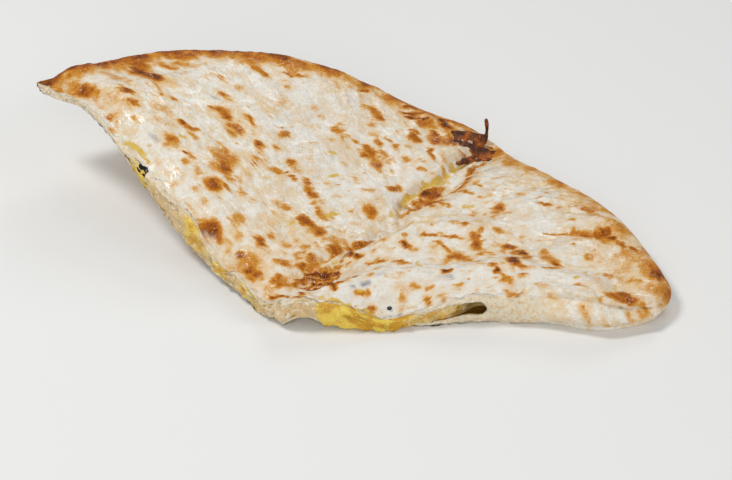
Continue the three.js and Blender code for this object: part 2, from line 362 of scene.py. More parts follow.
@dataclass(frozen=True)
class Relief:
    """Heights of the bread's faces and of its filling over the plan."""

    plan: Plan = field(default_factory=Plan)
    thick: float = 11.5
    puff: float = 2.4
    puff_from_crease: float = 52.0
    puff_width: float = 34.0
    puff_spread: float = 1.4
    rim_roll: float = 10.0
    rim_wall: float = 0.34
    rim_rise: float = 0.3
    thinnest: float = 3.2
    lift_top: Ramp = Ramp(7.0, 108.0, LIFT)
    lift_under: Ramp = Ramp(30.0, 92.0, LIFT)
    droop: Ramp = Ramp(112.0, LEFT_CUT - 112.0, 2.0)
    droop_out: Ramp = Ramp(0.6, 0.4)
    valley_depth: float = 5.8
    valley_width: float = 8.0
    valley_run_in: Ramp = Ramp(0.0, 24.0)
    lip_depth: float = 12.0
    rise_depth: float = 35.0
    crust: float = 2.0
    crust_share: float = 0.28
    cheese_reach: float = 0.9
    cheese_edge: float = 0.8
    cheese_full: float = 0.55
    right_shut: Ramp = Ramp(0.58, 0.07)
    left_shut: Ramp = Ramp(0.65, 0.08)
    shut_depth: float = 0.09
    recess: Swell = Swell(0.565, 0.042, 0.15)
    hole: Swell = Swell(0.51, 0.06, 0.36)
    hole_depth: float = 5.0
    hole_rise: float = 0.7
    waves: tuple[Wave, ...] = (
        Wave(0.3, 13, 11, 0.7),
        Wave(0.3, 13, -11, 1.5),
        Wave(0.45, 9, 9, 2.0),
        Wave(0.35, 8, -5, 0.0),
    )
    folds: tuple[Fold, ...] = (
        Fold((32, 36), (54, 50), 2.8, 7),
        Fold((54, 50), (82, 46), 2.4, 7),
        Fold((20, 8), (54, 15), 2.6, 6),
        Fold((54, 15), (86, 15), 3.0, 6),
        Fold((86, 15), (118, 4), 3.0, 6),
        Fold((100, 46), (130, 46), 1.8, 6),
    )
    blisters: tuple[Blister, ...] = (
        Blister((60, 66), (9, 6), 2.2),
        Blister((-6, 96), (12, 12), 1.8),
        Blister((-40, 118), (14, 10), 1.6),
        Blister((22, 124), (16, 10), 1.8),
        Blister((96, 62), (12, 9), 1.6),
        Blister((112, 28), (10, 7), 1.4),
    )
    right_lip: tuple[Swell, ...] = (
        Swell(10, 8, -3.0),
        Swell(40, 12, -7.2),
        Swell(58, 9, -3.4),
        Swell(90, 12, -1.2),
        Swell(116, 13, 4.0),
    )
    left_lip: tuple[Swell, ...] = (
        Swell(14, 13, -6.5),
        Swell(40, 12, -11.5),
        Swell(62, 16, -4.5),
        Swell(84, 14, -7.0),
        Swell(104, 14, -6.0),
        Swell(130, 22, -10.5),
        Swell(154, 8, -3.0),
    )
    right_rise: tuple[Swell, ...] = (Swell(7, 8, 5.2),)
    left_rise: tuple[Swell, ...] = (
        Swell(44, 20, 2.6),
        Swell(84, 16, 1.0),
        Swell(128, 28, 10.5),
        Swell(154, 10, 1.5),
    )

    def _lifted(self, left: Array, q: PlanPoints, lift: Ramp) -> Array:
        """Height that a face of the left lobe is lifted by, less where the corner droops."""
        return lift.over(left) - self.droop.over(q.theta) * self.droop_out.over(q.share)

    def _along_cuts(
        self,
        q: PlanPoints,
        on_right: Sequence[Swell],
        on_left: Sequence[Swell],
        depth: float,
    ) -> Array:
        """Height that two lists of swells give near the cuts.

        Args:
            q: Plan places.
            on_right: Swells along the right cut.
            on_left: Swells along the left cut.
            depth: Distance behind a cut over which they fade.

        Returns:
            The height, blended from one cut to the other round the tip.
        """
        away, right = np.hypot(q.x, q.y), self.plan.by_right(q.u)
        high = right * sum(s.over(away) for s in on_right)
        high = high + (1 - right) * sum(s.over(away) for s in on_left)
        return high * bell(q.v * q.reach / depth)

    def faces(self, q: PlanPoints, extra: Array | float = 0.0) -> tuple[Array, Array]:
        """Works out the lower and upper faces of the bread.

        Args:
            q: Plan places.
            extra: Fine relief that is added to the upper face.

        Returns:
            The heights of the two faces.
        """
        along, left = self.plan.crease_frame(q.x, q.y)
        rounded = np.sqrt(1 - (1 - np.clip(q.to_rim / self.rim_roll, 0, 1)) ** 2)
        pillow = self.puff * bell((np.abs(left) - self.puff_from_crease) / self.puff_width)
        thick = self.thick + pillow * ease(self.puff_spread * q.share)
        low = np.maximum(0.0, self._lifted(left, q, self.lift_under))
        rise = self._along_cuts(q, self.right_rise, self.left_rise, self.rise_depth)
        under = low + rise + self.rim_rise * thick * (1 - rounded)
        crossing = np.max([fold.over(q.x, q.y) for fold in self.folds], axis=0)
        bubbles = sum(blister.over(q.x, q.y) for blister in self.blisters)
        swaying = sum(wave.over(q.x, q.y) for wave in self.waves)
        valley = self.valley_depth * bell(left / self.valley_width) * self.valley_run_in.over(along)
        swell = self._lifted(left, q, self.lift_top) - low
        relief = crossing + bubbles + swaying - valley + swell + extra
        upper = thick * (self.rim_wall + (1 - self.rim_wall) * rounded) + relief * rounded
        lip = self._along_cuts(q, self.right_lip, self.left_lip, self.lip_depth)
        return under, under + np.maximum(self.thinnest, upper + lip)

    def filling(self, q: PlanPoints, under: Array, upper: Array) -> tuple[Array, Array]:
        """Works out the middle and the half thickness of the cheese layer.

        Args:
            q: Plan places.
            under: Lower face of the bread there.
            upper: Upper face of the bread there.

        Returns:
            The middle height and the half thickness.
        """
        crust = np.minimum(self.crust, self.crust_share * (upper - under))
        full = upper - under - 2 * crust
        run = (q.share / self.cheese_reach - self.cheese_full) / (1 - self.cheese_full)
        half = np.maximum(self.cheese_edge, full * (1 - ease(run))) / 2
        smaller = self.hole.over(q.u) * bell(q.v * q.reach / self.hole_depth)
        middle = (under + upper) / 2 + self.hole_rise * smaller * half
        return middle, half * (1 - smaller)

    def crust_at(self, x: float, y: float) -> Vector:
        """Finds the place on the crust over a plan place.

        Args:
            x: Place along X, from the tip.
            y: Place along Y, from the tip.

        Returns:
            The place, in millimetres.
        """
        _, upper = self.faces(self.plan.at(np.array([x]), np.array([y])))
        return Vector((self.plan.tip[0] + x, self.plan.tip[1] + y, upper[0]))

    def shut(self, u: Array) -> Array:
        """Share by which the mouth of the pocket is closed at each place along the filling."""
        return np.maximum(self.right_shut.over(u), self.left_shut.over(-u))


# Where the photograph was taken from, and the marks that it shows


@dataclass(frozen=True)
class Sight:
    """The camera of the photograph. Places in metres, pixels in its 732 by 480 frame."""

    place: tuple[float, float, float] = (-0.052, -0.850, 0.5514)
    look: tuple[float, float, float] = (0.03975, 0.8392, -0.5445)
    lens: float = 125.0
    sensor: float = 36.0
    picture: tuple[int, int] = (732, 480)
    rise_pixels: float = 2.17

    def turned(self) -> Matrix:
        """Rotation of a camera that looks along the line of sight."""
        return Vector(self.look).to_track_quat("-Z", "Y").to_matrix()

    def pixels(self, points: Array) -> tuple[Array, Array]:
        """Projects points into the photograph.

        Args:
            points: Places in metres, one a row.

        Returns:
            The pixels, one a row, and the depth of each point.
        """
        axes = np.array(self.turned())
        seen = (points - np.array(self.place)) @ axes
        depth = -seen[:, 2]
        scale = self.lens / self.sensor * self.picture[0] / depth
        across = self.picture[0] / 2 + seen[:, 0] * scale
        down = self.picture[1] / 2 - seen[:, 1] * scale
        return np.column_stack((across, down)), depth

    def camera(self) -> None:
        """Adds the camera to the scene and makes it the active one."""
        data = bpy.data.cameras.new("camera")
        data.lens = self.lens
        data.sensor_width = self.sensor
        made = bpy.data.objects.new("camera", data)
        made.matrix_world = Matrix.LocRotScale(Vector(self.place), self.turned(), None)
        bpy.context.scene.collection.objects.link(made)
        bpy.context.scene.camera = made


# Scorch marks, read from the photograph: start and end pixel, width, depth of colour
LEFT_RIM_MARKS = (
    (43, 76, 86, 67, 7, .5), (82, 63, 124, 64, 10, .7), (132, 66, 144, 70, 5, .9),
    (138, 71, 157, 80, 8, 1.), (126, 58, 148, 64, 4, .75), (120, 64, 134, 74, 5, .5),
    (76, 87, 97, 95, 6, .8), (65, 81, 81, 93, 6, .5), (119, 89, 136, 93, 4, .75),
    (100, 96, 130, 100, 7, .35), (158, 65, 177, 68, 4, .6), (180, 51, 198, 57, 5, .8),
    (216, 52, 230, 52, 6, .8), (236, 53, 255, 60, 7, .65), (256, 50, 270, 50, 5, .8),
    (252, 65, 270, 76, 4, .6), (272, 50, 296, 54, 5, .6), (283, 73, 305, 77, 3, .85),
    (217, 75, 227, 82, 3, .5), (219, 92, 231, 99, 4, .6), (235, 88, 243, 88, 6, .35),
    (170, 95, 178, 101, 3, .65), (154, 81, 162, 94, 2, .5), (100, 105, 128, 104, 6, .35),
    (154, 103, 171, 113, 7, .4), (126, 101, 136, 103, 4, .75), (108, 118, 113, 119, 4, .65),
    (116, 122, 118, 126, 3, .6), (109, 128, 114, 130, 3, .6), (333, 78, 339, 88, 3, .4),
    (344, 81, 363, 97, 3, .4), (361, 91, 368, 91, 2, .8), (367, 79, 385, 89, 5, .55),
    (384, 96, 403, 103, 4, .5), (401, 106, 421, 109, 4, .85), (300, 58, 322, 62, 4, .4),
    (326, 60, 345, 70, 4, .35), (150, 118, 160, 119, 4, .3), (165, 122, 175, 124, 4, .35),
    (60, 74, 104, 63, 11, .6), (104, 63, 150, 59, 11, .7), (150, 57, 180, 53, 8, .5),
    (134, 62, 158, 78, 9, .75), (204, 52, 222, 54, 8, .7), (236, 52, 272, 54, 8, .7),
    (276, 58, 306, 76, 5, .6), (176, 62, 192, 66, 5, .55), (180, 50, 300, 48, 9, .5),
    (60, 92, 100, 92, 8, .35), (160, 62, 200, 66, 6, .4), (90, 72, 130, 80, 8, .4),
)
LEFT_MIDDLE_MARKS = (
    (178, 121, 186, 124, 3, .85), (184, 124, 197, 130, 3, .85), (165, 137, 172, 138, 7, .8),
    (172, 142, 180, 145, 4, .4), (190, 132, 196, 138, 3, .5), (190, 154, 194, 157, 4, .6),
    (184, 152, 186, 152, 1, .9), (184, 161, 188, 163, 4, .5), (196, 166, 199, 175, 4, .45),
    (210, 106, 226, 112, 5, .8), (224, 114, 230, 118, 5, .85), (231, 124, 240, 129, 6, .8),
    (228, 131, 236, 134, 4, .5), (246, 114, 251, 120, 3, .75), (250, 120, 255, 126, 2, .6),
    (220, 153, 226, 168, 9, .6), (223, 163, 228, 172, 6, .85), (206, 151, 218, 153, 7, .35),
    (213, 160, 218, 170, 6, .45), (212, 182, 217, 186, 7, .85), (226, 184, 229, 190, 2, .6),
    (238, 178, 243, 184, 4, .4), (239, 193, 244, 194, 4, .65), (361, 102, 370, 108, 4, .5),
    (370, 108, 381, 117, 5, .6), (374, 113, 382, 120, 4, .8), (367, 123, 373, 125, 4, .5),
    (336, 126, 342, 134, 5, .65), (339, 134, 343, 142, 4, .5), (343, 146, 349, 149, 3, .35),
    (348, 135, 357, 143, 2, .5), (360, 151, 368, 157, 3, .85), (368, 147, 374, 157, 5, .75),
    (374, 158, 380, 167, 5, .75), (377, 142, 381, 145, 4, .75), (374, 166, 384, 176, 3, .5),
    (257, 141, 263, 148, 4, .85), (258, 149, 263, 153, 3, .6), (254, 158, 262, 159, 3, .6),
    (253, 166, 258, 161, 1, .7), (275, 146, 280, 150, 4, .55), (279, 134, 288, 133, 5, .7),
    (290, 161, 297, 163, 4, .85), (271, 170, 283, 174, 4, .6), (289, 174, 296, 181, 1.5, .8),
    (292, 169, 302, 172, 4, .45), (305, 181, 311, 185, 4, .8), (296, 122, 318, 127, 4, .25),
    (307, 186, 315, 198, 4, .9), (316, 203, 325, 219, 5, .65), (334, 196, 348, 197, 3, .35),
    (388, 186, 399, 187, 4, .75), (365, 191, 371, 191, 5, .5), (366, 205, 373, 217, 6, .6),
    (352, 176, 358, 183, 3, .4), (341, 160, 346, 166, 3, .35), (264, 110, 272, 112, 5, .3),
    (289, 104, 294, 103, 3, .35), (312, 106, 316, 108, 3, .4), (326, 213, 334, 219, 3, .4),
    (276, 205, 282, 208, 3, .35), (253, 198, 259, 203, 3, .35), (171, 182, 178, 184, 4, .3),
    (156, 172, 170, 175, 6, .25), (193, 187, 198, 190, 3, .4), (203, 200, 208, 204, 4, .4),
)
LEFT_FRONT_MARKS = (
    (299, 217, 309, 225, 5, .85), (309, 225, 323, 236, 6, .85), (325, 238, 347, 242, 5, .5),
    (329, 250, 343, 250, 6, .65), (348, 249, 362, 244, 4, .8), (362, 244, 375, 239, 3, .75),
    (283, 206, 288, 206, 4, .5), (257, 237, 264, 247, 5, .75), (270, 236, 275, 238, 4, .7),
    (236, 215, 244, 219, 6, .45), (236, 235, 242, 239, 5, .4), (284, 246, 290, 246, 5, .5),
    (304, 245, 309, 253, 4, .55), (308, 255, 313, 262, 5, .75), (236, 258, 243, 259, 4, .8),
    (245, 271, 258, 271, 8, 1.), (233, 261, 265, 266, 12, .45), (273, 280, 277, 282, 5, .7),
    (275, 261, 293, 266, 4, .5), (204, 223, 219, 234, 7, .8), (213, 233, 220, 239, 4, .6),
    (196, 219, 204, 222, 4, .35), (228, 218, 233, 223, 2, .4), (291, 235, 299, 240, 3, .4),
    (268, 222, 274, 226, 3, .4), (320, 262, 326, 258, 3, .6), (262, 287, 268, 290, 3, .4),
    (338, 229, 346, 231, 3, .4), (352, 222, 358, 225, 3, .3), (225, 243, 231, 249, 3, .35),
)
CREASE_MARKS = (
    (405, 114, 418, 117, 6, .65), (416, 119, 432, 127, 7, .6), (424, 118, 438, 130, 5, .7),
    (434, 136, 441, 146, 7, .8), (441, 139, 449, 148, 7, .8), (444, 128, 452, 136, 6, .4),
    (410, 130, 417, 131, 3, .75), (411, 137, 419, 140, 5, .85), (393, 146, 399, 147, 3, .65),
    (385, 138, 392, 143, 1.5, .55), (428, 147, 430, 153, 3, .8), (430, 153, 434, 160, 2, .75),
    (402, 156, 407, 160, 4, .45), (420, 168, 426, 172, 2, .55), (390, 158, 394, 160, 3, .5),
    (389, 168, 393, 173, 3, .45), (381, 152, 385, 156, 3, .65), (380, 163, 382, 165, 3, .6),
    (484, 163, 474, 167, 3, .8), (474, 167, 467, 177, 4, .8), (467, 177, 466, 183, 4, .8),
    (466, 183, 453, 190, 3, .8), (474, 183, 483, 187, 1.2, .6), (451, 191, 471, 195, 2, .55),
    (420, 191, 440, 190, 5, .85), (422, 197, 444, 200, 6, .8), (427, 194, 437, 196, 6, 1.),
    (436, 203, 452, 206, 3, .75), (405, 193, 414, 200, 3, .6), (410, 206, 424, 203, 4, .8),
    (399, 214, 419, 210, 5, .8), (417, 205, 436, 208, 3, .8), (400, 205, 408, 207, 4, .6),
    (458, 156, 470, 163, 3, .75), (441, 157, 445, 164, 2, .45), (443, 168, 446, 176, 2, .45),
    (404, 113, 424, 114, 1.6, .9), (408, 117, 428, 120, 1.8, .95), (426, 112, 448, 122, 4, .8),
    (440, 122, 456, 134, 6, 1.), (446, 118, 462, 126, 4, .75), (400, 104, 436, 110, 3, .6),
    (430, 130, 438, 138, 4, .9), (450, 136, 456, 150, 4, .9), (462, 124, 478, 130, 3, .8),
)
RIGHT_MARKS = (
    (451, 223, 469, 227, 3, .75), (492, 216, 496, 210, 6, .8), (496, 210, 502, 206, 5, .8),
    (469, 216, 475, 214, 3, .5), (538, 203, 550, 205, 3, .8), (579, 207, 593, 211, 4, .65),
    (477, 231, 483, 231, 3, .6), (496, 230, 506, 230, 5, .5), (422, 235, 436, 235, 2, .7),
    (438, 243, 448, 251, 2, .6), (449, 255, 462, 260, 5, .75), (462, 259, 477, 260, 3, .65),
    (477, 255, 492, 252, 3, .75), (470, 236, 475, 242, 6, .8), (474, 243, 480, 249, 5, .8),
    (441, 236, 462, 239, 2, .6), (399, 242, 414, 249, 4, .85), (429, 247, 434, 247, 4, .4),
    (506, 247, 514, 250, 5, .9), (518, 250, 528, 258, 6, .95), (511, 257, 517, 262, 5, 1.),
    (512, 262, 522, 266, 2, .8), (544, 253, 552, 262, 7, .6), (545, 267, 558, 266, 3, .8),
    (553, 263, 558, 265, 3, .9), (491, 264, 499, 270, 3, .8), (497, 270, 501, 270, 1.5, .9),
    (576, 233, 596, 236, 5, .8), (596, 236, 617, 239, 4, .8), (618, 243, 622, 245, 4, .85),
    (632, 247, 636, 251, 3, .7), (545, 231, 574, 232, 1.5, .6), (587, 254, 593, 259, 4, .5),
    (601, 273, 611, 277, 4, .6), (602, 215, 615, 225, 5, .5), (625, 252, 633, 260, 7, .45),
    (650, 266, 662, 276, 8, .85), (641, 270, 652, 274, 6, .5), (633, 280, 638, 281, 4, .6),
    (611, 296, 622, 297, 6, .8), (622, 295, 636, 300, 7, .9), (636, 301, 650, 309, 5, .5),
    (499, 278, 510, 282, 4, .6), (507, 290, 519, 301, 3, .65), (508, 302, 522, 296, 3, .6),
    (520, 278, 528, 275, 2, .5), (535, 287, 543, 289, 5, .35), (552, 282, 555, 283, 3, .4),
    (576, 284, 585, 287, 2, .6), (548, 297, 553, 298, 3, .4), (597, 297, 601, 299, 4, .4),
    (366, 261, 374, 262, 3, .65), (379, 261, 386, 259, 3, .85), (393, 261, 408, 263, 4, .65),
    (441, 271, 450, 270, 2, .9), (449, 254, 470, 259, 5, .6), (356, 292, 370, 294, 2, .55),
    (369, 309, 373, 313, 3, .75), (428, 289, 432, 293, 4, .6), (424, 299, 430, 304, 3, .65),
    (401, 300, 406, 302, 3, .5), (400, 290, 410, 294, 6, .3), (399, 309, 405, 309, 3, .45),
    (380, 242, 385, 242, 3, .6), (555, 184, 560, 184, 3, .6), (519, 193, 523, 194, 4, .5),
    (488, 196, 494, 197, 3, .4), (398, 274, 402, 275, 4, .3), (439, 299, 446, 297, 3, .4),
    # These last rows darken the right lobe's end: partly browning, partly painted shade where that
    # end turns from the light
    (578, 232, 612, 237, 9, .6), (600, 230, 610, 233, 4, 1.), (614, 240, 634, 252, 8, .4),
    (640, 262, 656, 276, 9, .45), (584, 206, 612, 220, 7, .45), (650, 284, 660, 300, 8, .4),
)
STRETCH_MARKS = (
    (270, 297, 285, 297, 2, .8), (285, 297, 302, 294, 2, .75), (306, 291, 320, 289, 3, .95),
    (320, 289, 334, 286, 2.5, .9), (289, 284, 300, 281, 3, .8), (300, 281, 318, 280, 2, .8),
    (318, 280, 338, 277, 1.5, .8), (306, 274, 320, 273, 2, .9), (320, 273, 337, 272, 2.5, .9),
    (332, 285, 341, 282, 1.5, .8), (347, 279, 357, 276, 1.5, .8), (350, 257, 361, 256, 2, .95),
    (297, 250, 300, 262, 4, .5), (301, 262, 305, 275, 3, .75), (311, 254, 314, 262, 4, .85),
    (308, 262, 312, 270, 4, .6), (274, 261, 292, 268, 4, .6), (296, 264, 304, 268, 3, .6),
    (312, 285, 330, 282, 1.5, .8), (322, 277, 340, 274, 1.5, .75), (335, 268, 350, 262, 1.5, .6),
    (340, 262, 362, 248, 1.5, .6), (295, 303, 304, 303, 3, .8), (275, 280, 278, 283, 5, .7),
    (284, 277, 288, 279, 3, .4), (270, 290, 276, 292, 4, .35), (326, 262, 336, 252, 1.5, .6),
    (280, 290, 318, 279, 9, .3), (318, 279, 338, 272, 7, .3), (262, 296, 290, 299, 4, .35),
    (276, 286, 296, 287, 1.5, .6), (300, 288, 318, 285, 1.5, .7), (318, 270, 338, 268, 1.5, .5),
)
SCORCH_MARKS = (
    *LEFT_RIM_MARKS,
    *LEFT_MIDDLE_MARKS,
    *LEFT_FRONT_MARKS,
    *CREASE_MARKS,
    *STRETCH_MARKS,
    *RIGHT_MARKS,
)

# Stains of cheese, blue specks, torn crumb and char, and pale areas that are partly painted light,
# in the same form
CHEESE_MARKS = (
    (465, 206, 471, 206, 2.4, 1.), (576, 277, 579, 277, 2, 1.), (573, 219, 581, 219, 3, .5),
    (329, 176, 337, 174, 1.6, .9), (327, 216, 337, 213, 2, .9), (289, 222, 293, 222, 2, .8),
    (391, 212, 391, 216, 2, .8), (129, 82, 132, 83, 2, .8), (179, 135, 183, 135, 2, 1.),
    (112, 120, 120, 127, 3, .5), (450, 166, 455, 172, 3, 1.), (443, 176, 451, 182, 4, .5),
    (424, 184, 438, 183, 2.4, .9), (437, 182, 442, 178, 2, .9), (400, 199, 408, 194, 2, .8),
    (380, 237, 391, 231, 1.6, .7), (391, 231, 404, 225, 2, .8), (404, 225, 420, 221, 2, .8),
    (420, 221, 436, 221, 1.6, .6), (417, 260, 424, 267, 1.2, .8), (343, 267, 350, 265, 2, .6),
    (333, 264, 338, 263, 2, .6), (366, 281, 372, 285, 2, .4), (247, 174, 252, 176, 2, .8),
    (265, 178, 269, 178, 2, .6), (452, 291, 460, 286, 2.5, .4), (612, 289, 616, 284, 2.4, .6),
    (590, 263, 594, 266, 2, .5), (124, 144, 135, 148, 3, 1.), (135, 148, 144, 156, 3, 1.),
    (143, 158, 150, 160, 1.4, .6), (357, 290, 362, 292, 1.4, .8), (331, 152, 335, 153, 2, .8),
    # The line along the crease is cheese in the slit and also painted shade of the crease
    (400, 206, 412, 196, 2, .7), (412, 196, 424, 188, 2, .7), (424, 188, 440, 183, 2, .8),
    (440, 183, 449, 175, 2.4, .8), (449, 175, 453, 168, 3, 1.), (453, 168, 466, 163, 2, .7),
    (322, 300, 338, 301, 4, 1.), (338, 302, 352, 307, 4, 1.), (352, 309, 366, 315, 3, 1.),
    (366, 315, 376, 319, 2, 1.),
)
BLUE_MARKS = (
    (362, 283, 366, 284, 2, 1.), (352, 287, 355, 286, 1.4, 1.), (378, 275, 384, 276, 3, .45),
    (446, 277, 453, 277, 3, .75), (342, 256, 348, 256, 3, .45), (402, 205, 406, 208, 3, .7),
    (152, 137, 157, 139, 1.8, .5), (214, 97, 218, 99, 1.4, .6), (535, 202, 537, 203, 1.4, .6),
)
CRUMB_MARKS = (
    (445, 158, 463, 157, 7, 1.), (112, 142, 120, 145, 2.4, 1.), (124, 153, 132, 166, 2.4, 1.),
    (141, 180, 150, 194, 2.4, .7), (212, 244, 216, 256, 3, .9), (218, 256, 234, 260, 2.4, .8),
    (206, 236, 212, 244, 2, .7), (438, 185, 442, 181, 1.6, .9), (398, 305, 410, 309, 2, .5),
)
CHAR_MARKS = ((133, 167, 139, 169, 1.8, 1.), (137, 171, 141, 175, 1.0, .7))
# Pale patches: partly paler crust, partly painted light where the light falls brightest on the left
# lobe and the front folds
PALE_AND_LIT_MARKS = (
    (355, 295, 470, 282, 26, 1.), (300, 92, 335, 130, 26, .8), (300, 130, 345, 190, 26, .7),
    (455, 200, 540, 222, 16, .7), (520, 272, 600, 280, 14, .8), (215, 80, 290, 95, 16, .6),
    (245, 200, 300, 200, 14, .5), (385, 175, 430, 178, 12, .7), (470, 240, 500, 250, 10, .6),
    (560, 215, 600, 235, 14, .5), (530, 245, 590, 262, 12, .5), (190, 195, 215, 215, 12, .5),
)

# Lines where the crust is pinched in, and below them lines where it rises: pixels, width, height
GROOVES = (
    (300, 277, 318, 263, 3, 1.2), (318, 263, 340, 251, 3, 1.4), (340, 251, 362, 246, 3, 1.4),
    (362, 246, 374, 238, 3, 1.5), (374, 238, 390, 231, 4, 1.6), (390, 231, 404, 226, 4, 1.7),
    (404, 226, 399, 215, 3, 1.7), (399, 215, 400, 204, 3, 1.8), (400, 204, 412, 194, 3, 1.8),
    (412, 194, 424, 186, 3, 1.9), (424, 186, 440, 181, 3, 2.), (440, 181, 447, 174, 3, 2.),
    (447, 174, 452, 168, 3, 2.2), (452, 168, 469, 160, 3, 2.4), (508, 293, 521, 284, 2, 1.),
    (521, 284, 551, 281, 2, 1.), (551, 281, 584, 286, 2, 1.2), (584, 286, 596, 291, 2, 1.2),
    (596, 291, 601, 299, 2, 1.), (270, 299, 302, 296, 2, .6), (306, 293, 334, 289, 2, .7),
    (289, 286, 338, 279, 2, .7), (306, 276, 337, 274, 2, .7), (333, 288, 357, 278, 2, .7),
    (411, 259, 426, 267, 2, .9), (438, 273, 452, 271, 2, .7), (547, 230, 584, 234, 3, .9),
    (584, 234, 614, 232, 3, .9), (427, 310, 441, 304, 2, .8), (441, 304, 457, 296, 2, .8),
    (457, 296, 474, 292, 2, .7), (470, 184, 484, 187, 1.6, .8), (380, 219, 392, 221, 2, .6),
    (470, 268, 510, 274, 2, .7), (510, 271, 560, 275, 2, .8), (622, 300, 652, 309, 3, 1.),
)
RIDGES = (
    (314, 270, 346, 257, 4, 1.), (346, 257, 374, 246, 5, 1.2), (374, 246, 400, 236, 5, 1.4),
    (400, 236, 417, 227, 5, 1.5), (417, 227, 439, 225, 5, 1.5), (439, 225, 482, 230, 7, 1.),
    (349, 284, 381, 271, 6, .9), (381, 271, 424, 270, 6, 1.), (424, 270, 494, 271, 6, .8),
    (533, 291, 590, 294, 12, 1.8), (444, 157, 463, 155, 8, 2.8), (436, 182, 447, 168, 5, 1.4),
    (380, 250, 410, 240, 8, .7), (413, 213, 436, 216, 6, .9), (413, 219, 436, 218, 5, .7),
    (287, 293, 332, 285, 2, .7), (290, 288, 338, 282, 2, .7), (304, 279, 337, 276, 2, .7),
    (386, 280, 438, 284, 16, 1.2), (455, 196, 470, 186, 4, .7), (473, 180, 486, 170, 4, .7),
    (462, 197, 500, 190, 9, .8), (500, 274, 560, 279, 4, .8), (560, 279, 600, 289, 4, .8),
)


Stroke = tuple[Place, Place, float, float]


@dataclass(frozen=True)
class Speckle:
    """Many small marks that a seeded draw spreads over the plan."""

    count: int
    smallest: float
    largest: float
    faint: float
    strong: float
    layer: int
    within: float = 0.98
    fewer_large: float = 2.5
    turns: float = 25.0
    longest: float = 0.9

    def strokes(self, plan: Plan) -> list[Stroke]:
        """Draws the marks.

        Args:
            plan: The bread's plan.

        Returns:
            Start, end, width and depth of each mark.
        """
        draw = np.random.default_rng(SEED + self.layer)
        u = draw.uniform(-self.within, self.within, self.count)
        v = draw.uniform(1 - self.within, self.within, self.count)
        q = plan.points(u, v)
        sizes = draw.random(self.count) ** self.fewer_large
        wide = self.smallest + (self.largest - self.smallest) * sizes
        deep = draw.uniform(self.faint, self.strong, self.count)
        pull = np.where(q.theta > plan.crease, plan.left_cut, 0.0)
        turn = np.radians(pull + draw.normal(0, self.turns, self.count))
        run = wide * draw.uniform(0.0, self.longest, self.count)
        run_x, run_y = run * np.cos(turn), run * np.sin(turn)
        rows = zip(q.x, q.y, run_x, run_y, wide, deep)
        return [((x - dx, y - dy), (x + dx, y + dy), w, d) for x, y, dx, dy, w, d in rows]


class Lookout:
    """Finds the plan place of the crust that a pixel of the photograph shows.

    Crust places count as in line within in_line pixels, or slack pixels beyond the nearest one.
    """

    in_line: float = 1.0
    slack: float = 0.3

    def __init__(self, relief: Relief, sight: Sight, cells: tuple[int, int] = (360, 220)) -> None:
        """Projects a grid of crust places into the photograph.

        Args:
            relief: Heights of the bread's faces.
            sight: The camera.
            cells: How many places are tried along the cuts and away from them.
        """
        u, v = np.meshgrid(np.linspace(-1, 1, cells[0]), np.linspace(0, 1, cells[1]))
        q = relief.plan.points(u.ravel(), v.ravel())
        _, upper = relief.faces(q)
        tip = relief.plan.tip
        seen = np.column_stack((q.x + tip[0], q.y + tip[1], upper)) * MM
        self.places = np.column_stack((q.x, q.y))
        self.pixels, self.depth = sight.pixels(seen)
        self.rise_pixels = sight.rise_pixels

    def found(self, x: float, y: float, rise: float = 0.0) -> Place:
        """Finds the place that a pixel shows, the nearest to the camera where two are in line.

        Args:
            x: Pixel across.
            y: Pixel down.
            rise: Height over the crust of what the pixel shows, in millimetres.

        Returns:
            The plan place under it.
        """
        y = y + rise * self.rise_pixels
        away = np.hypot(self.pixels[:, 0] - x, self.pixels[:, 1] - y)
        near = np.flatnonzero(away < max(self.in_line, away.min() + self.slack))
        chosen = self.places[near[np.argmin(self.depth[near])]]
        return float(chosen[0]), float(chosen[1])

    def strokes(self, rows: Sequence[Sequence[float]]) -> list[Stroke]:
        """Brings rows of marks onto the plan as start, end, width and depth."""
        found = self.found
        return [(found(x0, y0), found(x1, y1), wide, deep) for x0, y0, x1, y1, wide, deep in rows]


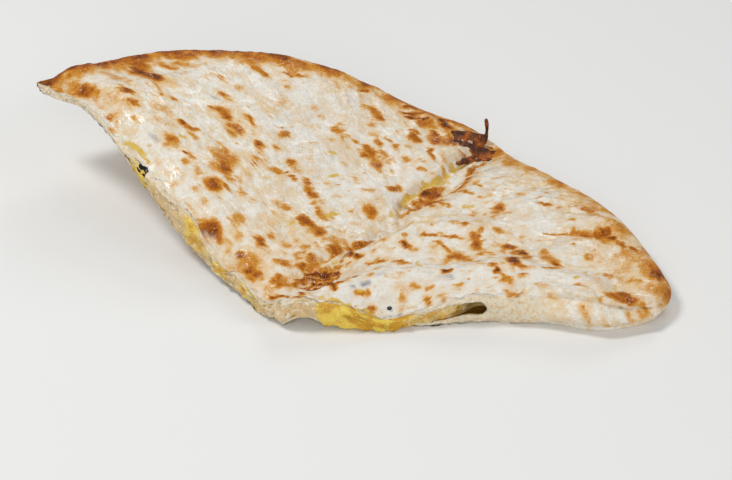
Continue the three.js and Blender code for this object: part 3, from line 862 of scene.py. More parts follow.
@dataclass
class MarkedCrust:
    """Colour and small relief of the crust, brought from the photograph onto the plan."""

    plan: Plan
    lookout: Lookout
    halo: float = 0.26
    halo_reach: float = 2.4
    spots: int = 5
    spots_a_length: float = 4.0
    scatter: float = 0.2
    spot_size: Place = (0.35, 0.85)
    spot_strength: Place = (0.3, 0.75)
    thin: float = 2.6
    strays: tuple[Grain, Grain] = (Grain(0.9, 2.4, 11.0), Grain(0.9, 2.4, 12.0))
    patches: Grain = Grain(0.7, 9.0, 13.0)
    patch_least: float = 0.25
    patch_middle: float = 0.66
    right_share: float = 0.45
    to_left: Ramp = Ramp(20.0, 40.0)
    rim_band: float = 21.0
    rim_depth: float = 1.3
    rim_deepest: float = 0.78
    # Darkening over the right lobe's end, partly browning and partly painted shade
    end: Ramp = Ramp(96.0, 44.0, 0.34)
    specks: Speckle = Speckle(850, 0.8, 3.6, 0.12, 0.45, 1)
    under_blotches: Speckle = Speckle(150, 3.0, 14.0, 0.3, 0.9, 2)

    def _cluster(self, x: Array, y: Array, stroke: Stroke, draw: np.random.Generator) -> Array:
        """Depth of colour of one mark, a cluster of small spots along a stroke.

        Args:
            x: Plan places along X.
            y: Plan places along Y.
            stroke: Start, end, width and depth of the mark.
            draw: Where its random draws come from.

        Returns:
            The depth at each place, from 0 to 1.
        """
        start, end, wide, deep = np.array(stroke[0]), np.array(stroke[1]), stroke[2], stroke[3]
        count = int(self.spots + self.spots_a_length * np.hypot(*(end - start)) / wide)
        shares = (np.arange(count) + draw.random(count)) / count
        centres = start + (end - start) * shares[:, None]
        centres = centres + draw.normal(0, self.scatter * wide, (count, 2))
        sizes = wide / 2 * draw.uniform(*self.spot_size, count)
        strengths = draw.uniform(*self.spot_strength, count)
        clear = np.ones(len(x))
        for centre, size, strength in zip(centres, sizes, strengths):
            clear *= 1 - strength * bell(np.hypot(x - centre[0], y - centre[1]) / size)
        return deep * (1 - clear)

    def _painted(self, q: PlanPoints, strokes: Sequence[Stroke], halo: float = 0.0) -> Array:
        """Depth of colour that marks leave at each plan place.

        Args:
            q: Plan places.
            strokes: Start, end, width and depth of each mark.
            halo: Depth of the soft ring round each mark.

        Returns:
            The deepest colour at each place, from 0 to 1.
        """
        draw = np.random.default_rng(SEED)
        depth = np.zeros(len(q.x))
        stray_x, stray_y = (grain.over(q.x, q.y) for grain in self.strays)
        stray_x, stray_y = q.x + stray_x, q.y + stray_y
        for stroke in strokes:
            start, end, wide, deep = stroke
            away = along_stroke(stray_x, stray_y, start, end) / (wide / 2)
            near = np.flatnonzero(away < self.halo_reach + 1)
            if wide > self.thin:
                spots = self._cluster(stray_x[near], stray_y[near], stroke, draw)
            else:
                spots = deep * bell(away[near])
            ring = deep * halo * (1 - ease(away[near] / self.halo_reach))
            depth[near] = np.maximum(depth[near], np.maximum(spots, ring))
        return depth

    def _rim(self, q: PlanPoints) -> Array:
        """Browning in a band along the rim, and darkening over the end of the right lobe that is
        partly browning and partly painted shade.

        Args:
            q: Plan places.

        Returns:
            The depth of browning at each place.
        """
        to_rim = self.plan.at(q.x, q.y).to_rim
        _, left = self.plan.crease_frame(q.x, q.y)
        patchy = np.clip(self.patch_middle + self.patches.over(q.x, q.y), self.patch_least, 1)
        lobe = self.right_share + (1 - self.right_share) * self.to_left.over(left)
        band = self.rim_depth * lobe * patchy * (1 - ease(to_rim / self.rim_band))
        band = np.minimum(band, self.rim_deepest)
        return np.maximum(band, self.end.over(q.x) * (left < 0) * patchy)

    def toast(self, q: PlanPoints) -> Array:
        """Browning of the top crust at each plan place."""
        strokes = self.lookout.strokes(SCORCH_MARKS) + self.specks.strokes(self.plan)
        return np.maximum(self._painted(q, strokes, self.halo), self._rim(q))

    def under_toast(self, q: PlanPoints) -> Array:
        """Browning of the underside at each plan place."""
        return self._painted(q, self.under_blotches.strokes(self.plan), self.halo)

    def shown(self, q: PlanPoints, rows: Sequence[Sequence[float]]) -> Array:
        """How much of a stain or of torn crumb shows at each plan place."""
        return self._painted(q, self.lookout.strokes(rows))

    def soft(self, q: PlanPoints, rows: Sequence[Sequence[float]]) -> Array:
        """Strength of soft strokes.

        Args:
            q: Plan places.
            rows: Rows of marks.

        Returns:
            The strength at each place.
        """
        strength = np.zeros(len(q.x))
        for start, end, wide, deep in self.lookout.strokes(rows):
            away = along_stroke(q.x, q.y, start, end) / (wide / 2)
            strength = np.maximum(strength, deep * bell(away))
        return strength

    def lines(self, q: PlanPoints) -> Array:
        """Height of the pinched and raised lines of the crust, in millimetres."""
        return self.soft(q, RIDGES) - self.soft(q, GROOVES)


# Meshes


@dataclass(frozen=True)
class Block:
    """A box of grid cells in bread coordinates: u along the cuts, v away from them, w up."""

    across: int
    deep: int
    rows: int

    def start(self) -> bmesh.types.BMesh:
        """Builds the closed box, with v and w from 0 to 1.

        Returns:
            The bmesh of the box.
        """
        bm = bmesh.new()
        bmesh.ops.create_grid(bm, x_segments=self.across, y_segments=self.deep, size=1.0)
        bmesh.ops.translate(bm, verts=bm.verts, vec=(0, 1, 0))
        bmesh.ops.scale(bm, verts=bm.verts, vec=(1, 0.5, 1))
        raised = bmesh.ops.extrude_face_region(bm, geom=bm.faces[:], use_keep_orig=True)
        bmesh.ops.translate(bm, verts=kept(raised["geom"], bmesh.types.BMVert), vec=(0, 0, 1))
        upright = [e for e in bm.edges if abs(e.verts[0].co.z - e.verts[1].co.z) > 0.5]
        bmesh.ops.subdivide_edges(bm, edges=upright, cuts=self.rows - 1, use_grid_fill=True)
        bmesh.ops.recalc_face_normals(bm, faces=bm.faces)
        return bm


def kept(geometry: Sequence[Any], kind: type) -> list[Any]:
    """The members of a bmesh result that are of one kind."""
    return [item for item in geometry if isinstance(item, kind)]


def grid_places(bm: bmesh.types.BMesh) -> Array:
    """Coordinates u, v and w of a bmesh's vertices, in three rows."""
    return np.array([vert.co[:] for vert in bm.verts]).T


def settle(bm: bmesh.types.BMesh, plan: Plan, x: Array, y: Array, z: Array) -> None:
    """Moves a bmesh's vertices to their places, in metres.

    Args:
        bm: The bmesh.
        plan: The bread's plan.
        x: Places along X, in millimetres from the tip.
        y: Places along Y, in millimetres from the tip.
        z: Heights in millimetres.
    """
    places = np.column_stack((plan.tip[0] + x, plan.tip[1] + y, z)) * MM
    for vert, place in zip(bm.verts, places):
        vert.co = place


def to_object(bm: bmesh.types.BMesh, name: str) -> bpy.types.Object:
    """Turns a bmesh into a smooth shaded object at the origin.

    Args:
        bm: The bmesh, which is freed.
        name: Name of the piece.

    Returns:
        The linked object.
    """
    bmesh.ops.recalc_face_normals(bm, faces=bm.faces)
    for face in bm.faces:
        face.smooth = True
    data = bpy.data.meshes.new(name)
    bm.to_mesh(data)
    bm.free()
    made = bpy.data.objects.new(name, data)
    bpy.context.scene.collection.objects.link(made)
    return made


def with_attributes(made: bpy.types.Object, values: Mapping[str, Array]) -> None:
    """Stores numbers at each vertex for the finish to read.

    Args:
        made: The piece.
        values: Arrays by attribute name, with a number for each vertex.
    """
    for name, value in values.items():
        attribute = made.data.attributes.new(name, "FLOAT", "POINT")
        attribute.data.foreach_set("value", value.astype(np.float32))


def dress(
    made: bpy.types.Object,
    finish: Finish,
    slot: Slot | None,
    *nodes: str,
) -> bpy.types.Object:
    """Gives a piece its finish and body, and hides the solids that it stands for.

    Args:
        made: The piece.
        finish: Its finish.
        slot: Material slot of the record, if one fits. It is not used.
        nodes: Solids that the piece replaces.

    Returns:
        The same piece.
    """
    made.data.materials.append(finish.material())
    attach(made, BODY)
    if nodes:
        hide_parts(*nodes)
    return made


# Shader maths


class Wire:
    """A shader socket that takes Python arithmetic."""

    def __init__(self, board: Board, socket: bpy.types.NodeSocket) -> None:
        """Keeps the socket and the board that it is on."""
        self.board = board
        self.socket = socket

    def __add__(self, other: Value) -> Wire:
        """Sum of two values."""
        return self.board.math("ADD", self, other)

    def __sub__(self, other: Value) -> Wire:
        """Difference of two values."""
        return self.board.math("SUBTRACT", self, other)

    def __rsub__(self, other: Value) -> Wire:
        """Difference from a plain number."""
        return self.board.math("SUBTRACT", other, self)

    def __mul__(self, other: Value) -> Wire:
        """Product of two values."""
        return self.board.math("MULTIPLY", self, other)

    __radd__ = __add__
    __rmul__ = __mul__

    def held(self) -> Wire:
        """The value kept between 0 and 1."""
        return self.step(0.0, 1.0, "LINEAR")

    def step(self, low: float, high: float, curve: str = "SMOOTHSTEP") -> Wire:
        """Rises from 0 to 1 between two values.

        Args:
            low: Value that gives 0.
            high: Value that gives 1.
            curve: Interpolation of the Map Range node.

        Returns:
            The share.
        """
        settings = {"interpolation_type": curve}
        sockets = {"Value": self, "From Min": low, "From Max": high}
        return self.board.add("ShaderNodeMapRange", "Result", settings, sockets)


@dataclass(frozen=True)
class Lumps:
    """Noise of a finish: size of its lumps in millimetres, finer layers and their strength."""

    size: float
    layers: float = 3.0
    strength: float = 0.55


Value = Wire | float
COLOUR_A, COLOUR_B, COLOUR_OUT = 6, 7, 2


class Board:
    """The node tree of one material, on which nodes are laid out by short calls."""

    def __init__(self, tree: bpy.types.NodeTree) -> None:
        """Clears the tree."""
        self.tree = tree
        tree.nodes.clear()

    def add(
        self,
        kind: str,
        output: str | int,
        settings: Mapping[str, Any] | None = None,
        sockets: Mapping[str | int, Any] | None = None,
    ) -> Wire:
        """Adds a node.

        Args:
            kind: Node type.
            output: Name or number of the output that is wanted.
            settings: Properties of the node, or the stops of a ramp, set first.
            sockets: Values or wires for its inputs.

        Returns:
            The wanted output.
        """
        node = self.tree.nodes.new(kind)
        for key, value in (settings or {}).items():
            if key == "stops":
                self._set_stops(node.color_ramp.elements, value)
            else:
                setattr(node, key, value)
        for key, value in (sockets or {}).items():
            if isinstance(value, Wire):
                self.tree.links.new(value.socket, node.inputs[key])
            else:
                node.inputs[key].default_value = value
        return Wire(self, node.outputs[output])

    def _set_stops(self, elements: Any, stops: Sequence[tuple[float, Colour]]) -> None:
        """Sets the stops of a ramp, which starts with two.

        Args:
            elements: Stops of the ramp.
            stops: Place and colour of each.
        """
        while len(elements) < len(stops):
            elements.new(1.0)
        for element, (place, colour) in zip(elements, stops):
            element.position = place
            element.color = (*colour, 1.0)

    def math(self, operation: str, first: Value, second: Value) -> Wire:
        """Result of a Math node."""
        return self.add("ShaderNodeMath", "Value", {"operation": operation}, {0: first, 1: second})

    def mix(self, share: Value, first: Any, second: Any) -> Wire:
        """Mixes two colours.

        Args:
            share: How much of the second colour is taken.
            first: Colour or wire.
            second: Colour or wire.

        Returns:
            The mixed colour.
        """
        sockets = {
            0: share,
            COLOUR_A: first if isinstance(first, Wire) else (*first, 1.0),
            COLOUR_B: second if isinstance(second, Wire) else (*second, 1.0),
        }
        return self.add("ShaderNodeMix", COLOUR_OUT, {"data_type": "RGBA"}, sockets)

    def attribute(self, name: str) -> Wire:
        """Reads a number that is stored on the mesh."""
        return self.add("ShaderNodeAttribute", "Fac", {"attribute_name": name})

    def place(self) -> Wire:
        """Object coordinates, in metres."""
        return self.add("ShaderNodeTexCoord", "Object")

    def stretched(self, vector: Wire, scale: tuple[float, float, float]) -> Wire:
        """Scales a vector."""
        sockets = {0: vector, 1: scale}
        return self.add("ShaderNodeVectorMath", "Vector", {"operation": "MULTIPLY"}, sockets)

    def turned(self, vector: Wire, angle: float) -> Wire:
        """Turns a vector about Z by an angle in radians."""
        sockets = {"Vector": vector, "Angle": angle}
        return self.add("ShaderNodeVectorRotate", "Vector", {"rotation_type": "Z_AXIS"}, sockets)

    def noise(self, vector: Wire, lumps: Lumps) -> Wire:
        """Noise of about 0 to 1.

        Args:
            vector: Coordinates in metres.
            lumps: Size and layers of the noise.

        Returns:
            The noise value.
        """
        sockets = {
            "Vector": vector,
            "Scale": 1 / (lumps.size * MM),
            "Detail": lumps.layers,
            "Roughness": lumps.strength,
        }
        return self.add("ShaderNodeTexNoise", "Fac", None, sockets)

    def bump(self, height: Wire, depth: float, strength: float = 1.0) -> Wire:
        """Normal of a surface with small relief, its depth in millimetres."""
        sockets = {"Height": height, "Distance": depth * MM, "Strength": strength}
        return self.add("ShaderNodeBump", "Normal", None, sockets)


def srgb(red: int, green: int, blue: int) -> Colour:
    """Turns a screen colour of 0 to 255 into the linear one that shaders take."""
    shares = (red / 255, green / 255, blue / 255)
    return tuple(s / 12.92 if s <= 0.04045 else ((s + 0.055) / 1.055) ** 2.4 for s in shares)


class Finish(ABC):
    """A material that is painted by nodes."""

    name = "finish"

    @abstractmethod
    def paint(self, board: Board) -> dict[str, Any]:
        """Gives the values and wires of the shader's sockets."""

    def material(self) -> bpy.types.Material:
        """Builds the material.

        Returns:
            The material, with its shader wired up.
        """
        made = bpy.data.materials.new(self.name)
        made.use_nodes = True
        board = Board(made.node_tree)
        shader = board.add("ShaderNodeBsdfPrincipled", "BSDF", None, self.paint(board))
        output = board.tree.nodes.new("ShaderNodeOutputMaterial")
        board.tree.links.new(shader.socket, output.inputs["Surface"])
        return made


@dataclass(frozen=True)
class CrustFinish(Finish):
    """Cream crust with scorch marks, a torn crumb and a thin gloss of butter, with painted
    highlights, painted light on pale patches, and painted shade in the crumb's pores and the
    pocket.
    """

    name = "baked_bread"
    cream: Colour = srgb(226, 214, 192)
    pale: Colour = srgb(236, 232, 222)
    grey: Colour = srgb(208, 198, 180)
    # Whitish of the pale patches, partly painted light
    pale_lit_white: Colour = srgb(232, 230, 224)
    # Near-white of the painted highlights
    painted_glint: Colour = srgb(250, 249, 246)
    peach: Colour = srgb(228, 202, 162)
    tan: Colour = srgb(228, 186, 122)
    orange: Colour = srgb(208, 144, 46)
    brown: Colour = srgb(180, 100, 4)
    dark: Colour = srgb(126, 62, 2)
    char: Colour = srgb(66, 34, 10)
    crumb: Colour = srgb(246, 234, 210)
    # Darker crumb in the pores: painted shade
    crumb_pore_shade: Colour = srgb(238, 204, 152)
    yellow: Colour = srgb(216, 176, 46)
    # Dark olive of the pocket's walls: cheese stain and painted shade
    pocket: Colour = srgb(140, 98, 18)
    blue: Colour = srgb(112, 114, 134)
    black: Colour = srgb(28, 22, 20)
    browning: tuple[tuple[float, str], ...] = (
        (0.0, "peach"),
        (0.18, "tan"),
        (0.38, "orange"),
        (0.6, "brown"),
        (0.82, "dark"),
        (1.0, "char"),
    )
    browned: Place = (0.0, 0.4)
    breaks: tuple[tuple[Lumps, float, float], ...] = (
        (Lumps(3.0, 4.0, 0.6), 0.9, 0.12),
        (Lumps(0.9, 3.0, 0.7), 1.1, 0.06),
    )
    pull: tuple[float, float, float] = (0.4, 1.0, 1.0)
    pale_streaks: Lumps = Lumps(2.6, 5.0, 0.65)
    raised_streaks: Lumps = Lumps(2.4, 5.0, 0.65)
    streak_edge: Place = (0.34, 0.5)
    streak_share: float = 0.3
    blotches: Lumps = Lumps(12.0, 6.0, 0.68)
    blotch_edge: Place = (0.42, 0.58)
    flakes: Lumps = Lumps(3.4, 5.0, 0.7)
    flake_part: float = 0.6
    flake_edge: Place = (0.44, 0.56)
    grains: Lumps = Lumps(0.8, 2.0, 0.6)
    grain_edge: Place = (0.3, 0.5)
    grain_share: float = 0.35
    pale_and_lit_share: float = 0.6
    stain: Lumps = Lumps(1.4, 3.0, 0.7)
    stain_uneven: float = 1.6
    stain_edge: Place = (0.2, 0.7)
    stain_share: float = 0.9
    seed_share: float = 0.8
    char_edge: Place = (0.3, 0.6)
    pores: Lumps = Lumps(1.6, 4.0, 0.65)
    pore_edge: Place = (0.34, 0.56)
    cheesy_share: float = 0.8
    pocket_shade_edge: Place = (1.0, 1.3)
    butter: Lumps = Lumps(9.0, 5.0, 0.65)
    butter_edge: Place = (0.46, 0.6)
    glints: Lumps = Lumps(1.5, 3.0, 0.7)
    glint_pull: tuple[float, float, float] = (1.0, 1.5, 1.0)
    glint_edge: Place = (0.6, 0.66)
    glint_share: float = 0.75
    dry_edge: Place = (0.1, 0.6)
    dry_share: float = 0.9
    skin_lumps: Lumps = Lumps(2.2, 4.0, 0.65)
    skin_grain: Lumps = Lumps(0.7, 2.0, 0.6)
    relief_parts: tuple[float, float, float, float] = (0.9, 0.8, 0.35, 2.0)
    relief_depth: float = 0.9

    def _scorch(self, board: Board) -> Wire:
        """Works out the depth of browning, its edges broken up by noise.

        Args:
            board: Nodes of the material.

        Returns:
            The depth, from 0 to 1.
        """
        place, toast = board.place(), board.attribute("toast")
        depth = toast
        for lumps, strength, least in self.breaks:
            depth = depth + (board.noise(place, lumps) - 0.5) * strength * (toast + least)
        return depth.held()

    def _streaks(self, board: Board, lumps: Lumps) -> Wire:
        """Fine streaks that follow the pull of the dough, each lobe its own way.

        Args:
            board: Nodes of the material.
            lumps: Noise of the streaks.

        Returns:
            Noise of about 0 to 1.
        """
        across = board.turned(board.place(), -radians(LEFT_CUT))
        right = board.noise(board.stretched(board.place(), self.pull), lumps)
        left = board.noise(board.stretched(across, self.pull), lumps)
        lobe = board.attribute("lobe")
        return right * (1 - lobe) + left * lobe

    def _skin(self, board: Board) -> Wire:
        """Colour of the crust before it is browned, with painted light on its pale patches.

        Args:
            board: Nodes of the material.

        Returns:
            The colour.
        """
        place = board.place()
        blotches = board.noise(place, self.blotches)
        flaky = board.noise(place, self.flakes) * self.flake_part + blotches * (1 - self.flake_part)
        streaks = 1 - self._streaks(board, self.pale_streaks).step(*self.streak_edge)
        grains = 1 - board.noise(place, self.grains).step(*self.grain_edge)
        base = board.mix(blotches.step(*self.blotch_edge), self.peach, self.cream)
        base = board.mix(flaky.step(*self.flake_edge), base, self.pale)
        # Pale patches, partly painted light
        base = board.mix(board.attribute("pale_and_lit") * self.pale_and_lit_share, base, self.pale_lit_white)
        base = board.mix(streaks * self.streak_share, base, self.grey)
        return board.mix(grains * self.grain_share, base, self.peach)

    def _crust(self, board: Board, scorch: Wire) -> Wire:
        """Colour of the browned crust with its stains.

        Args:
            board: Nodes of the material.
            scorch: Depth of browning.

        Returns:
            The colour.
        """
        stops = tuple((place, getattr(self, name)) for place, name in self.browning)
        browned = board.add("ShaderNodeValToRGB", "Color", {"stops": stops}, {"Fac": scorch})
        colour = board.mix(scorch.step(*self.browned), self._skin(board), browned)
        uneven = 1 + (board.noise(board.place(), self.stain) - 0.5) * self.stain_uneven
        stain = (board.attribute("tint") * uneven).step(*self.stain_edge)
        colour = board.mix(stain * self.stain_share, colour, self.yellow)
        return board.mix(board.attribute("bluish") * self.seed_share, colour, self.blue)

    def _torn(self, board: Board, pores: Wire) -> Wire:
        """Colour of the crumb in the cuts, with painted shade in its pores, and of the pocket
        behind them, stained by cheese and darkened by painted shade.

        Args:
            board: Nodes of the material.
            pores: Noise of the crumb's pores.

        Returns:
            The colour.
        """
        tint = board.attribute("tint")
        # Pores are painted darker than the crumb: painted shade
        torn = board.mix(pores.step(*self.pore_edge), self.crumb_pore_shade, self.crumb)
        torn = board.mix((tint * self.cheesy_share).held(), torn, self.yellow)
        # Past a tint of 1 the pocket's walls turn dark olive: cheese stain and painted shade of the
        # hole
        return board.mix(tint.step(*self.pocket_shade_edge), torn, self.pocket)

    def _relief(self, board: Board, crumb: Wire, pores: Wire) -> Wire:
        """Fine relief of the crust and the crumb.

        Args:
            board: Nodes of the material.
            crumb: Where the crumb is torn open.
            pores: Noise of the crumb's pores.

        Returns:
            Its height.
        """
        streaky, lumpy, grainy, porous = self.relief_parts
        return (
            self._streaks(board, self.raised_streaks) * streaky
            + board.noise(board.place(), self.skin_lumps) * lumpy
            + board.noise(board.place(), self.skin_grain) * grainy
            + crumb * pores * porous
        )

    def paint(self, board: Board) -> dict[str, Any]:
        """Gives the values and wires of the shader's sockets.

        Args:
            board: Nodes of the material.

        Returns:
            Values and wires by the name of the socket.
        """
        place, crumb, scorch = board.place(), board.attribute("crumb"), self._scorch(board)
        pores = board.noise(place, self.pores)
        colour = board.mix(crumb, self._crust(board, scorch), self._torn(board, pores))
        charred = board.attribute("charred").step(*self.char_edge)
        colour = board.mix(charred, colour, self.black)
        butter = board.noise(place, self.butter).step(*self.butter_edge) * (1 - crumb)
        gloss = butter * (1 - scorch.step(*self.dry_edge) * self.dry_share)
        # Glints of butter are painted highlights: near-white specks mixed into the base colour
        glints = board.noise(board.stretched(place, self.glint_pull), self.glints)
        painted_glint = glints.step(*self.glint_edge) * butter * self.glint_share
        return {
            "Base Color": board.mix(painted_glint, colour, self.painted_glint),
            "Roughness": 0.6 - gloss * 0.3 + crumb * 0.25,
            "Coat Weight": gloss * 0.5,
            "Coat Roughness": 0.14,
            "Specular IOR Level": 0.22,
            "Subsurface Weight": 0.08,
            "Subsurface Radius": (0.9, 0.7, 0.5),
            "Subsurface Scale": 1.4 * MM,
            "Normal": board.bump(self._relief(board, crumb, pores), self.relief_depth),
        }


@dataclass(frozen=True)
class CheeseFinish(Finish):
    """Melted yellow cheese, paler where it is mixed with dough."""

    name = "melted_cheese"
    deep: Colour = srgb(218, 162, 16)
    bright: Colour = srgb(246, 212, 84)
    beige: Colour = srgb(228, 196, 142)
    dough: Colour = srgb(246, 234, 212)
    curds: Lumps = Lumps(5.0, 6.0, 0.62)
    curd_edge: Place = (0.42, 0.56)
    mixed: Lumps = Lumps(5.0, 4.0)
    mixed_uneven: float = 0.9
    mixed_edge: Place = (0.3, 0.9)
    bits: Lumps = Lumps(2.4, 4.0, 0.65)
    bit_edge: Place = (0.54, 0.64)
    shine: Lumps = Lumps(1.2)
    grain: Lumps = Lumps(0.9)

    def paint(self, board: Board) -> dict[str, Any]:
        """Gives the values and wires of the shader's sockets.

        Args:
            board: Nodes of the material.

        Returns:
            Values and wires by the name of the socket.
        """
        place, doughy = board.place(), board.attribute("doughy")
        curds = board.noise(place, self.curds)
        uneven = (board.noise(place, self.mixed) - 0.5) * self.mixed_uneven
        bits = board.noise(place, self.bits).step(*self.bit_edge) * doughy
        colour = board.mix(curds.step(*self.curd_edge), self.deep, self.bright)
        colour = board.mix((doughy + uneven).step(*self.mixed_edge), colour, self.beige)
        colour = board.mix(bits, colour, self.dough)
        return {
            "Base Color": colour,
            "Roughness": 0.34 + board.noise(place, self.shine) * 0.25,
            "Coat Weight": 0.3,
            "Coat Roughness": 0.2,
            "Subsurface Weight": 0.25,
            "Subsurface Radius": (1.0, 0.7, 0.2),
            "Subsurface Scale": 2.0 * MM,
            "Normal": board.bump(curds * 1.8 + board.noise(place, self.grain) * 0.6, 1.3),
        }


@dataclass(frozen=True)
class BurntFinish(Finish):
    """Cheese fried dark brown and amber, crisp and glossy."""

    name = "burnt_cheese"
    amber: Colour = srgb(188, 106, 28)
    brown: Colour = srgb(134, 66, 12)
    black: Colour = srgb(72, 36, 10)
    patches: Lumps = Lumps(4.0, 4.0, 0.6)
    brown_edge: Place = (0.42, 0.58)
    amber_edge: Place = (0.54, 0.68)
    amber_share: float = 0.8
    shine: Lumps = Lumps(1.1)
    crisp: Lumps = Lumps(0.9, 4.0)

    def paint(self, board: Board) -> dict[str, Any]:
        """Gives the values and wires of the shader's sockets.

        Args:
            board: Nodes of the material.

        Returns:
            Values and wires by the name of the socket.
        """
        place = board.place()
        patches = board.noise(place, self.patches)
        colour = board.mix(patches.step(*self.brown_edge), self.black, self.brown)
        amber = patches.step(*self.amber_edge) * self.amber_share
        return {
            "Base Color": board.mix(amber, colour, self.amber),
            "Roughness": 0.42 + board.noise(place, self.shine) * 0.3,
            "Coat Weight": 0.12,
            "Coat Roughness": 0.2,
            "Specular IOR Level": 0.3,
            "Normal": board.bump(board.noise(place, self.crisp), 0.4, 0.8),
        }


@dataclass(frozen=True)
class SeedFinish(Finish):
    """Dull black skin of an onion seed."""

    name = "onion_seed"
    black: Colour = srgb(30, 28, 30)
    grey: Colour = srgb(62, 60, 62)
    wrinkles: Lumps = Lumps(0.4)

    def paint(self, board: Board) -> dict[str, Any]:
        """Gives the values and wires of the shader's sockets.

        Args:
            board: Nodes of the material.

        Returns:
            Values and wires by the name of the socket.
        """
        wrinkles = board.noise(board.place(), self.wrinkles)
        return {
            "Base Color": board.mix(wrinkles, self.black, self.grey),
            "Roughness": 0.5 + wrinkles * 0.3,
            "Normal": board.bump(wrinkles, 0.1),
        }


@dataclass(frozen=True)
class FloorFinish(Finish):
    """Plain pale studio floor."""

    name = "studio_floor"
    white: Colour = srgb(232, 232, 230)

    def paint(self, board: Board) -> dict[str, Any]:
        """Gives the values of the shader's sockets."""
        return {"Base Color": (*self.white, 1.0), "Roughness": 0.8}


# Pieces


